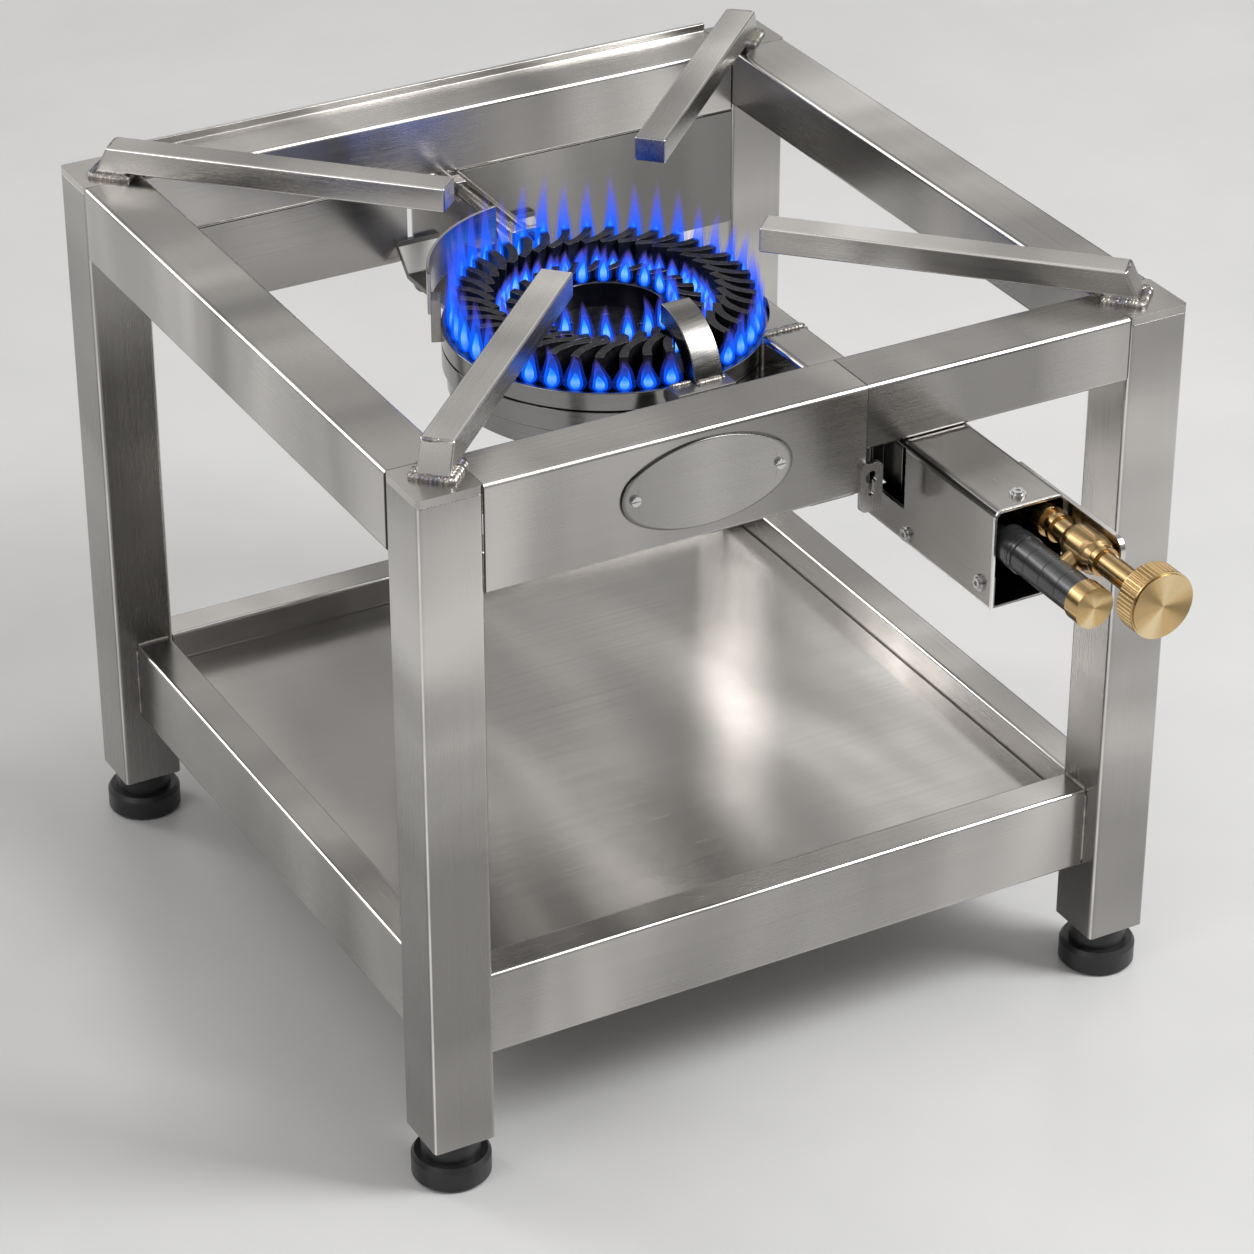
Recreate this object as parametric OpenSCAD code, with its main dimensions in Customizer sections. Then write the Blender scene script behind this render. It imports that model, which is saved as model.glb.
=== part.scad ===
// Single burner stove for large pots: tube frame, pan bars, round burner, valve set and feet.
// Millimetres, Z up, the operator stands on the -Y side. The origin is on the floor, in the
// middle of the whole outline: the valve stands out in front, so the frame sits behind it.

/* [Frame] */
// Outside width and depth of the square frame
frame_size = 500; // [350:1:700]
// Height of the frame top above the floor
frame_height = 465; // [300:1:700]
// Side of the square leg tube
leg_size = 40; // [25:1:60]
// Wall of the leg tube
leg_wall = 1.5; // [1.5:0.5:4]
// Corner radius of the leg tube
leg_corner = 3; // [2:0.5:8]
// Thickness of the cap on top of each leg
cap_thick = 5; // [3:0.5:10]
// Height of the left rail
left_rail_height = 50; // [30:1:80]
// Height of the right rail
right_rail_height = 40; // [30:1:80]
// Height of the front rail, right of the apron
front_rail_height = 41; // [30:1:80]
// Height of the back rail
back_rail_height = 44; // [30:1:80]
// Height of the lip that stands on the back rail
lip_height = 5; // [2:1:20]
// Thickness of the lip on the back rail
lip_thick = 3; // [1:0.5:5]
// Height of the front face of the apron
apron_height = 68; // [50:1:100]
// Place across of the seam between apron and front rail
seam_x = 32; // [-50:1:100]
// Thickness of the plates behind the burner
panel_thick = 2; // [1:0.5:4]
// Height of the back panel below the back rail
panel_drop = 54; // [20:1:90]
// Height of the rear shield below the back rail
shield_drop = 80; // [30:1:120]
// Right end of the back panel
panel_end = -31; // [-100:1:20]
// Gap between back panel and rear shield
panel_gap = 4; // [1:0.5:10]
// Radius of the lower corners of the plates
panel_corner = 8; // [3:1:20]

/* [Shelf] */
// Height of the shelf rim top above the leg bottoms
rim_top = 105; // [80:1:200]
// Height of the shelf rim tubes
rim_height = 56; // [30:1:80]
// Width of the shelf rim tubes
rim_width = 24; // [15:1:35]
// How far the rim stands back from the outside of the legs
rim_inset = 14; // [0:1:16]
// Wall of the shelf rim tubes
rim_wall = 1.5; // [1:0.5:3]
// Corner radius of the shelf rim tubes
rim_corner = 2.5; // [2:0.5:5]
// Depth of the shelf floor below the rim top
floor_drop = 20; // [5:1:40]
// Thickness of the shelf floor
floor_thick = 1.5; // [1:0.5:3]

/* [Pan bars] */
// Width of a pan bar
bar_width = 20; // [10:1:30]
// Thickness of a pan bar
bar_thick = 16; // [8:1:25]
// Height of the bar tops above the frame top
bar_rise = 20; // [18:1:60]
// Distance of the bar tips from the middle of the burner
bar_tip = 98; // [60:1:150]
// Distance of the bar feet from the frame's outer corners
bar_foot_in = 26.55; // [15:0.05:45]
// Length of a bar foot on its cap
bar_foot_length = 20; // [14:1:30]
// Slope of the outer end of a bar from upright
bar_lean = 25; // [5:1:45]
// Width of the weld seam round a bar foot
weld_width = 3; // [1:0.5:5]
// Height of the weld seam round a bar foot
weld_height = 2; // [1:0.5:3]

/* [Burner] */
// Depth of the burner rim below the frame top
burner_drop = 58; // [30:1:100]
// Radius of the burner rim
burner_r = 100; // [70:1:150]
// Height of the top band of the burner
band_top = 12; // [6:1:20]
// Height of the middle band of the burner
band_middle = 15; // [6:1:20]
// Height of the lowest band of the burner
band_low = 14; // [6:1:20]
// How far the lowest band steps in
band_step = 3; // [1:0.5:6]
// Depth of the lines between the bands
band_line = 1; // [0.5:0.5:2]
// Width of the polished rim
rim_edge = 3; // [2:0.5:6]
// Depth of the deck below the rim
deck_drop = 1.5; // [0.5:0.5:4]
// Wall of the burner casting
burner_wall = 5; // [3:0.5:8]
// Inner radius of the middle well
well_r = 38; // [20:0.5:40]
// Wall of the middle well
well_wall = 3.5; // [2:0.5:5]
// Height of the well wall above the deck
well_rise = 8; // [2:1:12]
// Depth of the well from the top of its wall to the rosette
well_depth = 16; // [6:1:20]
// Thickness of the rosette in the well
rosette_thick = 3.5; // [2:0.5:6]
// Number of holes in the rosette
rosette_holes = 12; // [6:1:24]
// Diameter of a rosette hole
rosette_hole = 4; // [2:0.5:6]
// Radius of the ring of rosette holes
rosette_ring = 25; // [12:1:26]

/* [Crowns] */
// Gap between the inner and the outer crown
crown_gap = 7; // [4:1:15]
// Free strip between the outer crown and the burner's edge
rim_free = 10; // [6:1:30]
// Height of the outer crown
outer_height = 21.5; // [10:0.5:40]
// Number of fins on the outer crown
outer_fins = 40; // [12:1:60]
// Gap between the well wall and the inner crown
well_free = 2.5; // [1.5:0.5:8]
// Width of the inner crown
inner_width = 15; // [8:1:20]
// Height of the inner crown
inner_height = 13; // [6:0.5:30]
// Number of fins on the inner crown
inner_fins = 26; // [8:1:40]
// Width of a fin
fin_width = 5.2; // [3:0.1:8]
// Shortening of the fins against the width of their crown
fin_inset = 1.15; // [0:0.05:4]
// Radius of the curve that each fin follows
fin_curve = 30; // [22:1:80]
// Turn of the fins from the radial direction
fin_swirl = 38; // [0:1:50]
// Height of the closed ring under the fins
crown_base = 4; // [2:0.5:8]

/* [Burner holders] */
// Width of the two straps that carry the burner
strap_width = 30; // [15:1:50]
// Thickness of the carrier straps
strap_thick = 4; // [2:0.5:8]
// Distance of the left strap from the middle line
strap_left_x = 25; // [15:1:40]
// Distance of the right strap from the middle line
strap_right_x = 45; // [25:1:48]
// Size of the slanting bends at both strap corners
strap_bend = 16; // [6:1:18]
// Depth of the front strap ends below the frame top
strap_end_drop = 18; // [5:1:35]
// Depth of the rear strap ends below the frame top
strap_back_drop = 82; // [50:1:90]
// Width of the clamp arch
arch_width = 19; // [8:1:30]
// Thickness of the clamp arch
arch_thick = 13; // [6:1:20]
// Outer radius of the clamp arch
arch_r = 43; // [35:1:60]
// Place across of the clamp arch
arch_x = 13.5; // [-40:0.5:40]
// Distance of the arch's inner end from the burner's edge
arch_in = 38; // [30:1:45]
// Length of the clamp block
block_length = 39; // [20:1:60]
// Depth of the clamp block
block_depth = 13; // [6:1:20]
// Height of the clamp block
block_height = 13; // [6:1:25]
// Height of the clamp block above the rim
block_rise = 1; // [0:1:15]
// Clearance round the arch where it crosses the crown
arch_gap = 1.5; // [0.5:0.5:4]
// Gap between the burner and the wind shield
wind_gap = 6; // [2:1:20]
// Thickness of the wind shield
wind_thick = 2; // [1:0.5:4]
// Height of the wind shield
wind_height = 27; // [10:1:50]
// Height of the wind shield bottom above the rim
wind_rise = 11; // [2:1:20]
// First angle of the wind shield
wind_from = 101; // [95:1:120]
// Last angle of the wind shield
wind_to = 160; // [130:1:250]
// Angle taken by each lug under the wind shield
lug_angle = 7; // [3:1:15]

/* [Pilot] */
// Diameter of the pilot tube
pilot_d = 8; // [4:0.5:10]
// Diameter of the igniter rod beside the pilot tube
igniter_d = 5; // [3:0.5:8]
// Distance of the pilot tube from the middle line
pilot_x = -4.5; // [-10:0.5:0]
// Distance of the igniter rod from the middle line
igniter_x = 5; // [3:0.5:10]
// Height of the pilot tube above the burner rim
pilot_rise = 13; // [8:1:20]
// Reach of the pilot tube over the burner's edge
pilot_in = 6; // [0:1:8]
// Width across flats of the pilot nut
pilot_nut_af = 13; // [10:1:16]
// Length of the pilot nut
pilot_nut_length = 12; // [6:1:20]
// Distance of the pilot nut from the back plates
pilot_nut_back = 14; // [2:1:40]
// Width of the pilot clip
clip_width = 24; // [18:1:30]
// Depth of the pilot clip
clip_depth = 4; // [2:1:8]
// Height of the pilot clip above the rim
clip_rise = 20; // [18:1:30]

/* [Gas channel] */
// Width of the gas channel
channel_width = 31; // [20:1:45]
// Height of the gas channel
channel_height = 35; // [20:1:45]
// Wall of the gas channel
channel_wall = 2; // [1:0.5:3]
// Corner radius of the gas channel
channel_corner = 4; // [3:0.5:8]
// Place across of the gas channel
channel_x = 81.5; // [60:0.5:90]
// Height of the channel top above the burner rim
channel_rise = 6; // [0:1:10]
// Length of the neck between the burner's edge and the channel seam
neck_reach = 18.1; // [8:0.1:30]
// Distance of the channel's front end behind the frame's front
channel_inset = 15; // [5:1:40]
// Length of the gas port in the burner
port_length = 52; // [30:1:60]
// Diameter of the mixing tube
mix_d = 24; // [16:1:26]
// Wall of the mixing tube
mix_wall = 2; // [1:0.5:3]
// How far the mixing tube stands back in the channel
mix_inset = 4; // [1:1:20]

/* [Valve cover] */
// Width of the valve cover
cover_width = 47; // [40:1:80]
// Height of the valve cover
cover_height = 62; // [50:1:90]
// Place across of the valve cover
cover_x = 79.5; // [60:0.5:100]
// How far the cover reaches in front of the frame
cover_reach = 96; // [60:1:150]
// Sheet thickness of cover and tray
cover_wall = 1.5; // [1:0.5:3]
// Fold radius of the cover
cover_fold = 5; // [3:0.5:10]
// How far the cover stops short of the inner rail face
cover_back = 3; // [1:1:20]
// Length of the air window in the left side
window_length = 38; // [15:1:38]
// How far the air window starts in front of the frame
window_front = 4; // [0:1:10]
// Height of the air window
window_height = 39; // [15:1:40]
// Depth of the air window top below the cover top
window_drop = 3; // [2:1:20]
// Corner radius of the air window
window_corner = 2; // [1:0.5:12]
// Height of the sides of the tray
tray_height = 20; // [14:1:30]
// Diameter of a screw head
screw_head_d = 9.5; // [7:0.5:12]
// Height of a screw head
screw_head_h = 2.8; // [1.5:0.1:4]
// Diameter of a screw shank
screw_d = 5; // [3:0.5:6]
// Length of a screw shank
screw_length = 4.4; // [3.4:0.2:12]
// Clearance round a screw in the cover
screw_gap = 0.25; // [0.1:0.05:0.5]
// Height of the front side screws above the cover bottom
screw_up = 12; // [6:1:15]
// Height of the rear side screws above the cover bottom
screw_up_back = 6; // [5:1:15]
// Distance of the front screws from the mouth
screw_front = 12; // [8:1:30]
// Distance between the side screws
screw_pitch = 76; // [40:1:90]
// Thickness of the valve guard
guard_thick = 3; // [2:0.5:5]
// Height of the valve guard
guard_height = 24; // [18:1:40]
// Drop of the guard's upper edge below the cover top
guard_drop = 4; // [1:0.5:10]
// How far the guard reaches beyond the mouth
guard_reach = 54; // [20:1:60]
// Length of the guard on the cover side
guard_hold = 50; // [20:1:80]
// Radius of the front end of the guard
guard_corner = 8; // [3:1:10]

/* [Valve set] */
// Place across of the valve
valve_x = 91; // [80:0.5:95]
// Depth of the valve below the frame top
valve_drop = 54; // [50:0.5:60]
// Distance of the knob face in front of the frame
front_reach = 207; // [180:1:260]
// Diameter of the supply pipe
pipe_d = 14; // [8:0.5:15]
// Diameter of the collar on the supply pipe
collar_d = 18; // [14:0.5:20]
// Length of the collar on the supply pipe
collar_length = 12; // [5:1:20]
// Distance of the hub middle in front of the frame
hub_reach = 135; // [120:1:160]
// Diameter of the valve hub
hub_d = 23; // [18:0.5:24]
// Length of the valve hub
hub_length = 27; // [18:1:40]
// Length of the chamfer on the hub
hub_chamfer = 5; // [1:1:8]
// Diameter of the spindle sleeve
sleeve_d = 14; // [12:0.5:18]
// Length of the spindle sleeve
sleeve_length = 40; // [20:1:50]
// Diameter of the rings on the sleeve
sleeve_ring_d = 17.5; // [15:0.5:22]
// Length of the rings on the sleeve
sleeve_ring = 4; // [2:1:10]
// Diameter of the spindle
spindle_d = 8; // [5:0.5:10]
// Radial running clearance round the spindle
spindle_gap = 0.05; // [0.02:0.01:0.1]
// Depth of the spindle bore in the hub
spindle_deep = 14; // [5:1:20]
// Diameter of the knob
knob_d = 40; // [25:1:60]
// Length of the knob
knob_length = 16; // [8:1:30]
// Number of grip lines round the knob
knob_lines = 52; // [24:1:90]
// Radius of a grip line
knob_line_r = 0.8; // [0.3:0.1:1]
// Width of the smooth ring at the front of the knob
knob_rim = 2; // [1:0.5:5]

/* [Barrel and button] */
// Place across of the barrel
barrel_x = 70; // [66:0.5:74]
// Depth of the barrel below the frame top
barrel_drop = 66; // [60:0.5:75]
// Diameter of the barrel
barrel_d = 22; // [18:0.5:23]
// Length of the barrel
barrel_length = 76; // [40:1:100]
// How far the barrel starts behind the cover mouth
barrel_inset = 6; // [-10:1:20]
// Pitch of the rings on the barrel
ring_pitch = 15; // [4:0.5:20]
// Width of the lines between the rings
ring_line = 0.5; // [0.5:0.1:3]
// Depth of the lines between the rings
ring_deep = 0.3; // [0.3:0.1:2]
// Diameter of the collar on the barrel
barrel_collar_d = 23.4; // [22:0.1:24]
// Length of the collar on the barrel
barrel_collar = 9; // [4:1:15]
// Wall of the button
button_wall = 1.2; // [0.8:0.1:3]
// Radial running clearance between button and barrel
button_gap = 0.08; // [0.02:0.01:0.1]
// Overall length of the button
button_length = 11; // [8:0.5:20]
// Thickness of the button end
button_end = 2.5; // [1:0.5:5]
// Travel of the button
button_travel = 5; // [2:0.5:8]
// Space left behind the pressed button
button_stop = 0.5; // [0.2:0.1:2]
// Diameter of the outlet pipe behind the barrel
outlet_d = 12; // [8:0.5:14]
// Place along of the outlet block front, from the frame front
outlet_front = 14; // [5:1:40]
// Depth of the outlet block
outlet_depth = 14; // [8:1:25]
// Width of the outlet block
outlet_width = 31; // [24:1:36]
// Height of the outlet block
outlet_height = 18; // [12:1:20]
// Diameter of the injector nozzle
nozzle_d = 10; // [6:0.5:14]
// Length of the injector nozzle
nozzle_length = 10; // [6:1:20]
// Bore of the injector nozzle
nozzle_bore = 1.5; // [0.6:0.1:3]

/* [Gas inlet] */
// Outside diameter of the inlet nipple
inlet_d = 20.9; // [15:0.1:26]
// Bore of the inlet nipple
inlet_bore = 12; // [8:0.5:18]
// How far the nipple reaches below the cover
inlet_reach = 16; // [8:1:40]
// Place across of the inlet
inlet_x = 88.5; // [75:0.5:90]
// Distance of the inlet in front of the frame
inlet_front = 33; // [30:1:60]
// Width across flats of the inlet hexagon
inlet_af = 22; // [18:0.5:24]
// Length of the inlet hexagon
inlet_hex = 8; // [4:1:12]
// Side of the elbow block
elbow_size = 18; // [16:1:20]
// Clearance round the nipple in the tray
inlet_gap = 0.4; // [0.2:0.1:1]
// Plain groove between the inlet thread and the tray
inlet_relief = 0.5; // [0.2:0.1:2]
// Depth of that groove
inlet_groove = 0.5; // [0.2:0.1:1.5]

/* [Front fittings] */
// Length of the oval plate
plate_length = 108; // [60:1:160]
// Height of the oval plate
plate_height = 54; // [30:1:60]
// Thickness of the oval plate
plate_thick = 1.5; // [0.5:0.5:3]
// End radius of the oval plate
plate_end_r = 16; // [8:1:24]
// Place across of the oval plate
plate_x = -72; // [-150:1:-30]
// Depth of the plate middle below the frame top
plate_drop = 33; // [20:1:45]
// Distance of each plate screw from the plate middle
plate_screw_x = 46; // [20:1:50]
// Diameter of a plate screw head
plate_head_d = 6; // [4:0.5:8]
// Height of a plate screw head
plate_head_h = 1.8; // [1:0.1:3]
// Diameter of a plate screw shank
plate_screw_d = 3; // [2:0.5:4]
// Length of a plate screw shank
plate_screw_length = 7; // [4:1:10]
// Width of the keyhole bracket
key_width = 14.6; // [10:0.1:30]
// Height of the keyhole bracket
key_height = 31; // [20:1:50]
// Thickness of the keyhole bracket
key_thick = 3; // [2:0.5:5]
// Place across of the keyhole bracket
key_x = 34.3; // [30:0.1:45]
// Depth of the bracket top below the frame top
key_drop = 48; // [42:1:60]
// Diameter of the round part of the keyhole
key_hole = 8; // [5:0.5:10]
// Width of the narrow part of the keyhole
key_slot = 4; // [2:0.5:6]
// Length of the narrow part of the keyhole
key_slot_length = 10; // [5:1:15]

/* [Feet] */
// Height of the leg bottoms above the floor
foot_height = 30; // [20:1:60]
// Diameter of a foot
foot_d = 48; // [30:1:60]
// Height of the wide part of a foot
foot_cup = 17; // [8:1:25]
// Diameter of the neck of a foot
foot_neck_d = 36; // [20:1:45]
// Gap between foot and leg when screwed right in
foot_gap = 0.3; // [0.2:0.1:1]
// Diameter of a foot stem
stem_d = 10; // [8:1:16]
// Length of a foot stem above the foot
stem_length = 32; // [20:1:60]
// Radial running clearance round a foot stem
stem_gap = 0.06; // [0.02:0.01:0.1]
// Height of the insert in the leg
insert_height = 20; // [10:1:40]

/* [Hidden] */
$fn = 64;
frame_y = front_reach / 2 - (foot_d - leg_size) / 4;
half = frame_size / 2;
bar_foot_end = half * sqrt(2) - bar_foot_in;
inner = half - leg_size;
leg_at = half - leg_size / 2;
leg_length = frame_height - cap_thick - foot_height;
span = 2 * inner;
inside = leg_size - 2 * leg_wall;
inside_corner = leg_corner - leg_wall;
rim_z = frame_height - burner_drop;
base_z = rim_z - band_top - band_middle - band_low;
deck_z = rim_z - deck_drop;
well_top = deck_z + well_rise;
ledge_z = well_top - well_depth - rosette_thick;
inner_in_r = well_r + well_wall + well_free;
inner_out_r = inner_in_r + inner_width;
outer_in_r = inner_out_r + crown_gap;
outer_out_r = burner_r - rim_free;
inner_fin_length = (inner_out_r - inner_in_r - fin_inset) / cos(fin_swirl);
outer_fin_length = (outer_out_r - outer_in_r - fin_inset) / cos(fin_swirl);
arch_end_y = arch_in - burner_r;
wind_r = burner_r + wind_gap;
pilot_tip = burner_r - pilot_in;
channel_seam_y = -sqrt(max(0, burner_r * burner_r - channel_x * channel_x)) - neck_reach;
channel_front_y = channel_inset - half;
channel_top = rim_z + channel_rise;
channel_z = channel_top - channel_height / 2;
cover_top = frame_height - front_rail_height;
cover_bottom = cover_top - cover_height;
cover_front = -half - cover_reach;
cover_end = -inner - cover_back;
cover_left = cover_x - cover_width / 2;
cover_right = cover_x + cover_width / 2;
valve_z = frame_height - valve_drop;
hub_y = -half - hub_reach;
knob_face = -half - front_reach;
sleeve_front = hub_y - hub_length / 2 - sleeve_length;
barrel_z = frame_height - barrel_drop;
barrel_back = cover_front + barrel_inset;
barrel_front = barrel_back - barrel_length;
button_r = barrel_d / 2 + button_gap;
button_face = barrel_front - button_stop - button_travel - button_end;
outlet_y = -half - outlet_front;
outlet_z = channel_z - 1;
inlet_y = -half - inlet_front;
pilot_z = rim_z + pilot_rise;
arch_z = rim_z - 7;
plate_top_r = plate_height / 2;
plate_end_x = plate_length / 2 - plate_end_r;
plate_c = (plate_end_x * plate_end_x - pow(plate_top_r - plate_end_r, 2)) / (2 * (plate_top_r - plate_end_r));
plate_big_r = plate_top_r + plate_c;
plate_meet = plate_big_r * plate_end_x / sqrt(plate_end_x * plate_end_x + plate_c * plate_c);

// Shared shapes

module placed() {
  translate([0, frame_y, 0]) children();
}

module rounded(w, d, r) {
  square([w - 2 * r, d], center = true);
  square([w, d - 2 * r], center = true);
  for (sx = [-1, 1], sy = [-1, 1])
    translate([sx * (w / 2 - r), sy * (d / 2 - r)]) circle(r = r);
}

module hollow(w, d, r, wall) {
  difference() {
    rounded(w, d, r);
    rounded(w - 2 * wall, d - 2 * wall, r - wall);
  }
}

// The drawing plane is turned so that it is extruded across, along X
module across(length) {
  rotate([90, 0, 90]) linear_extrude(length, center = true) children();
}

// The drawing plane is turned so that it is extruded from front to back, along Y
module along(length) {
  rotate([90, 0, 0]) linear_extrude(length, center = true) children();
}

// A round bar along Y, from the front place to the back place
module rod(x, z, front, back, d) {
  translate([x, back, z]) rotate([90, 0, 0]) cylinder(d = d, h = back - front);
}

// A slice of a circle, for cutting arcs
module slice(from, to, r) {
  mid = (from + to) / 2;
  polygon([
    [0, 0],
    [r * cos(from), r * sin(from)],
    [1.3 * r * cos(mid), 1.3 * r * sin(mid)],
    [r * cos(to), r * sin(to)]
  ]);
}

// Frame

module leg(sx, sy) {
  color("#b9bcc0") placed()
    translate([sx * leg_at, sy * leg_at, foot_height])
      linear_extrude(leg_length) hollow(leg_size, leg_size, leg_corner, leg_wall);
}

module corner_cap(sx, sy) {
  color("#c4c7cb") placed()
    translate([sx * leg_at, sy * leg_at, frame_height - cap_thick])
      linear_extrude(cap_thick) rounded(leg_size, leg_size, leg_corner);
}

module leg_front_left() {
  leg(-1, -1);
}

module leg_front_right() {
  leg(1, -1);
}

module leg_back_left() {
  leg(-1, 1);
}

module leg_back_right() {
  leg(1, 1);
}

module corner_cap_front_left() {
  corner_cap(-1, -1);
}

module corner_cap_front_right() {
  corner_cap(1, -1);
}

module corner_cap_back_left() {
  corner_cap(-1, 1);
}

module corner_cap_back_right() {
  corner_cap(1, 1);
}

module left_rail() {
  color("#b9bcc0") placed()
    translate([-leg_at, 0, frame_height - left_rail_height / 2])
      along(span) hollow(leg_size, left_rail_height, leg_corner, leg_wall);
}

module right_rail() {
  color("#b9bcc0") placed()
    translate([leg_at, 0, frame_height - right_rail_height / 2])
      along(span) hollow(leg_size, right_rail_height, leg_corner, leg_wall);
}

module back_rail() {
  color("#b9bcc0") placed() {
    translate([0, leg_at, frame_height - back_rail_height / 2])
      across(span) hollow(leg_size, back_rail_height, leg_corner, leg_wall);
    translate([-inner, half - lip_thick, frame_height - leg_corner])
      cube([span, lip_thick, leg_corner + lip_height]);
  }
}

// The apron is a folded sheet: deep front face, top, and a short inner flange
module front_apron() {
  length = inner + seam_x;
  color("#b9bcc0") placed() difference() {
    translate([seam_x - length / 2, -leg_at, frame_height - apron_height / 2])
      across(length) difference() {
        hollow(leg_size, apron_height, leg_corner, leg_wall);
        translate([leg_wall - leg_size / 2, -apron_height / 2 - 1])
          square([leg_size, apron_height - front_rail_height + 1]);
      }
    for (s = [-1, 1])
      rod(plate_x + s * plate_screw_x, frame_height - plate_drop, -half - 1, -half + leg_wall + 1, plate_screw_d);
  }
}

// The end at the seam is closed by a thin plate of the same wall
module front_rail() {
  length = inner - seam_x;
  color("#b9bcc0") placed()
    translate([seam_x + length / 2, -leg_at, frame_height - front_rail_height / 2]) difference() {
      across(length) rounded(leg_size, front_rail_height, leg_corner);
      translate([leg_wall, 0, 0]) across(length)
        rounded(inside, front_rail_height - 2 * leg_wall, inside_corner);
    }
}

// A plate below the back rail with one rounded lower corner
module hanging_plate(left, right, drop, round_left, round_right) {
  top = frame_height - back_rail_height;
  r = panel_corner;
  translate([0, inner + panel_thick / 2, 0]) along(panel_thick) {
    translate([left, top - drop + r]) square([right - left, drop - r]);
    translate([left + round_left * r, top - drop])
      square([right - left - (round_left + round_right) * r, drop]);
    if (round_left > 0)
      translate([left + r, top - drop + r]) circle(r = r);
    if (round_right > 0)
      translate([right - r, top - drop + r]) circle(r = r);
  }
}

module back_panel() {
  color("#aeb2b6") placed() hanging_plate(-inner, panel_end, panel_drop, 0, 1);
}

module rear_shield() {
  color("#aeb2b6") placed() hanging_plate(panel_end + panel_gap, inner, shield_drop, 1, 0);
}

// Shelf

rim_at = half - rim_inset - rim_width / 2;
rim_in = half - rim_inset - rim_width;
shelf_z = foot_height + rim_top - rim_height / 2;

module shelf_rail_front() {
  color("#b4b7bb") placed() translate([0, -rim_at, shelf_z])
    across(span) hollow(rim_width, rim_height, rim_corner, rim_wall);
}

module shelf_rail_back() {
  color("#b4b7bb") placed() translate([0, rim_at, shelf_z])
    across(span) hollow(rim_width, rim_height, rim_corner, rim_wall);
}

module shelf_rail_left() {
  color("#b4b7bb") placed() translate([-rim_at, 0, shelf_z])
    along(span) hollow(rim_width, rim_height, rim_corner, rim_wall);
}

module shelf_rail_right() {
  color("#b4b7bb") placed() translate([rim_at, 0, shelf_z])
    along(span) hollow(rim_width, rim_height, rim_corner, rim_wall);
}

module shelf_floor() {
  color("#a8acb0") placed()
    translate([0, 0, foot_height + rim_top - floor_drop - floor_thick])
      linear_extrude(floor_thick) {
        square([2 * rim_in, span], center = true);
        square([span, 2 * rim_in], center = true);
      }
}

// Pan bars

module bar_shape() {
  top = frame_height + bar_rise;
  under = top - bar_thick;
  lean = tan(bar_lean);
  along(bar_width) polygon([
    [bar_tip, under],
    [bar_tip, top],
    [bar_foot_end - bar_rise * lean, top],
    [bar_foot_end, frame_height],
    [bar_foot_end - bar_foot_length, frame_height],
    [bar_foot_end - bar_foot_length - (bar_rise - bar_thick) * lean, under]
  ]);
}

module pan_bar(turn) {
  color("#a9a6a2") placed() rotate([0, 0, turn]) bar_shape();
}

module pan_bar_front_left() {
  pan_bar(225);
}

module pan_bar_front_right() {
  pan_bar(315);
}

module pan_bar_back_left() {
  pan_bar(135);
}

module pan_bar_back_right() {
  pan_bar(45);
}

module bar_welds() {
  color("#8d8a86") placed() for (turn = [45, 135, 225, 315])
    rotate([0, 0, turn]) difference() {
      translate([bar_foot_end - bar_foot_length / 2, 0, frame_height])
        linear_extrude(weld_height)
          rounded(bar_foot_length + 2 * weld_width, bar_width + 2 * weld_width, weld_width);
      bar_shape();
    }
}

// Burner

module burner_strap(x) {
  up = frame_height - strap_end_drop;
  back_up = frame_height - strap_back_drop;
  low = base_z - strap_thick;
  turn = strap_bend + strap_thick * tan(22.5);
  color("#9b9ea2") placed() translate([x, 0, 0]) across(strap_width) polygon([
    [-inner, up],
    [-inner, low + strap_bend],
    [strap_bend - inner, low],
    [inner - strap_bend, low],
    [inner, low + strap_bend],
    [inner, back_up],
    [inner - strap_thick, back_up],
    [inner - strap_thick, low + turn],
    [inner - turn, base_z],
    [turn - inner, base_z],
    [strap_thick - inner, low + turn],
    [strap_thick - inner, up]
  ]);
}

module burner_strap_left() {
  burner_strap(-strap_left_x);
}

module burner_strap_right() {
  burner_strap(strap_right_x);
}

module burner_outline() {
  low_r = burner_r - band_step;
  line_z = base_z + band_low;
  difference() {
    union() {
      translate([0, base_z]) square([low_r, deck_z - base_z]);
      translate([0, line_z]) square([burner_r, band_middle]);
      translate([burner_r - 2 * burner_wall, line_z + band_middle]) square([2 * burner_wall, band_top]);
      translate([well_r, deck_z - 1]) square([well_wall, well_rise + 1]);
    }
    // the deck lies below the rim
    translate([burner_r - 3 * burner_wall, deck_z]) square([3 * burner_wall - rim_edge, burner_wall]);
    // lines between the bands
    translate([burner_r - band_line, line_z + band_middle - band_line / 2]) square([2 * band_line, band_line]);
    translate([low_r - band_line, line_z - band_line]) square([2 * band_line + band_step, band_line]);
    // gas chamber
    translate([well_r + well_wall + burner_wall, base_z + burner_wall])
      square([low_r - 2 * burner_wall - well_r - well_wall, deck_z - base_z - 2 * burner_wall]);
    // well with its ledge
    translate([-1, ledge_z]) square([well_r + 1, well_top]);
    translate([-1, base_z - 1]) square([well_r - burner_wall + 1, well_top]);
  }
}

module burner_base() {
  clear = channel_wall;
  color("#55585c") placed() difference() {
    rotate_extrude($fn = 128) burner_outline();
    // gas port from the neck
    translate([channel_x - channel_width / 2 + clear, channel_seam_y - 4, base_z + band_low])
      cube([channel_width - 2 * clear - 8, port_length, band_middle + 2]);
  }
}

// One fin seen from above: a piece of a ring
module fin_plan(length) {
  half_angle = asin(length / 2 / fin_curve);
  intersection() {
    difference() {
      circle(r = fin_curve + fin_width / 2);
      circle(r = fin_curve - fin_width / 2);
    }
    slice(-half_angle, half_angle, 1.5 * fin_curve);
  }
}

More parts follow.
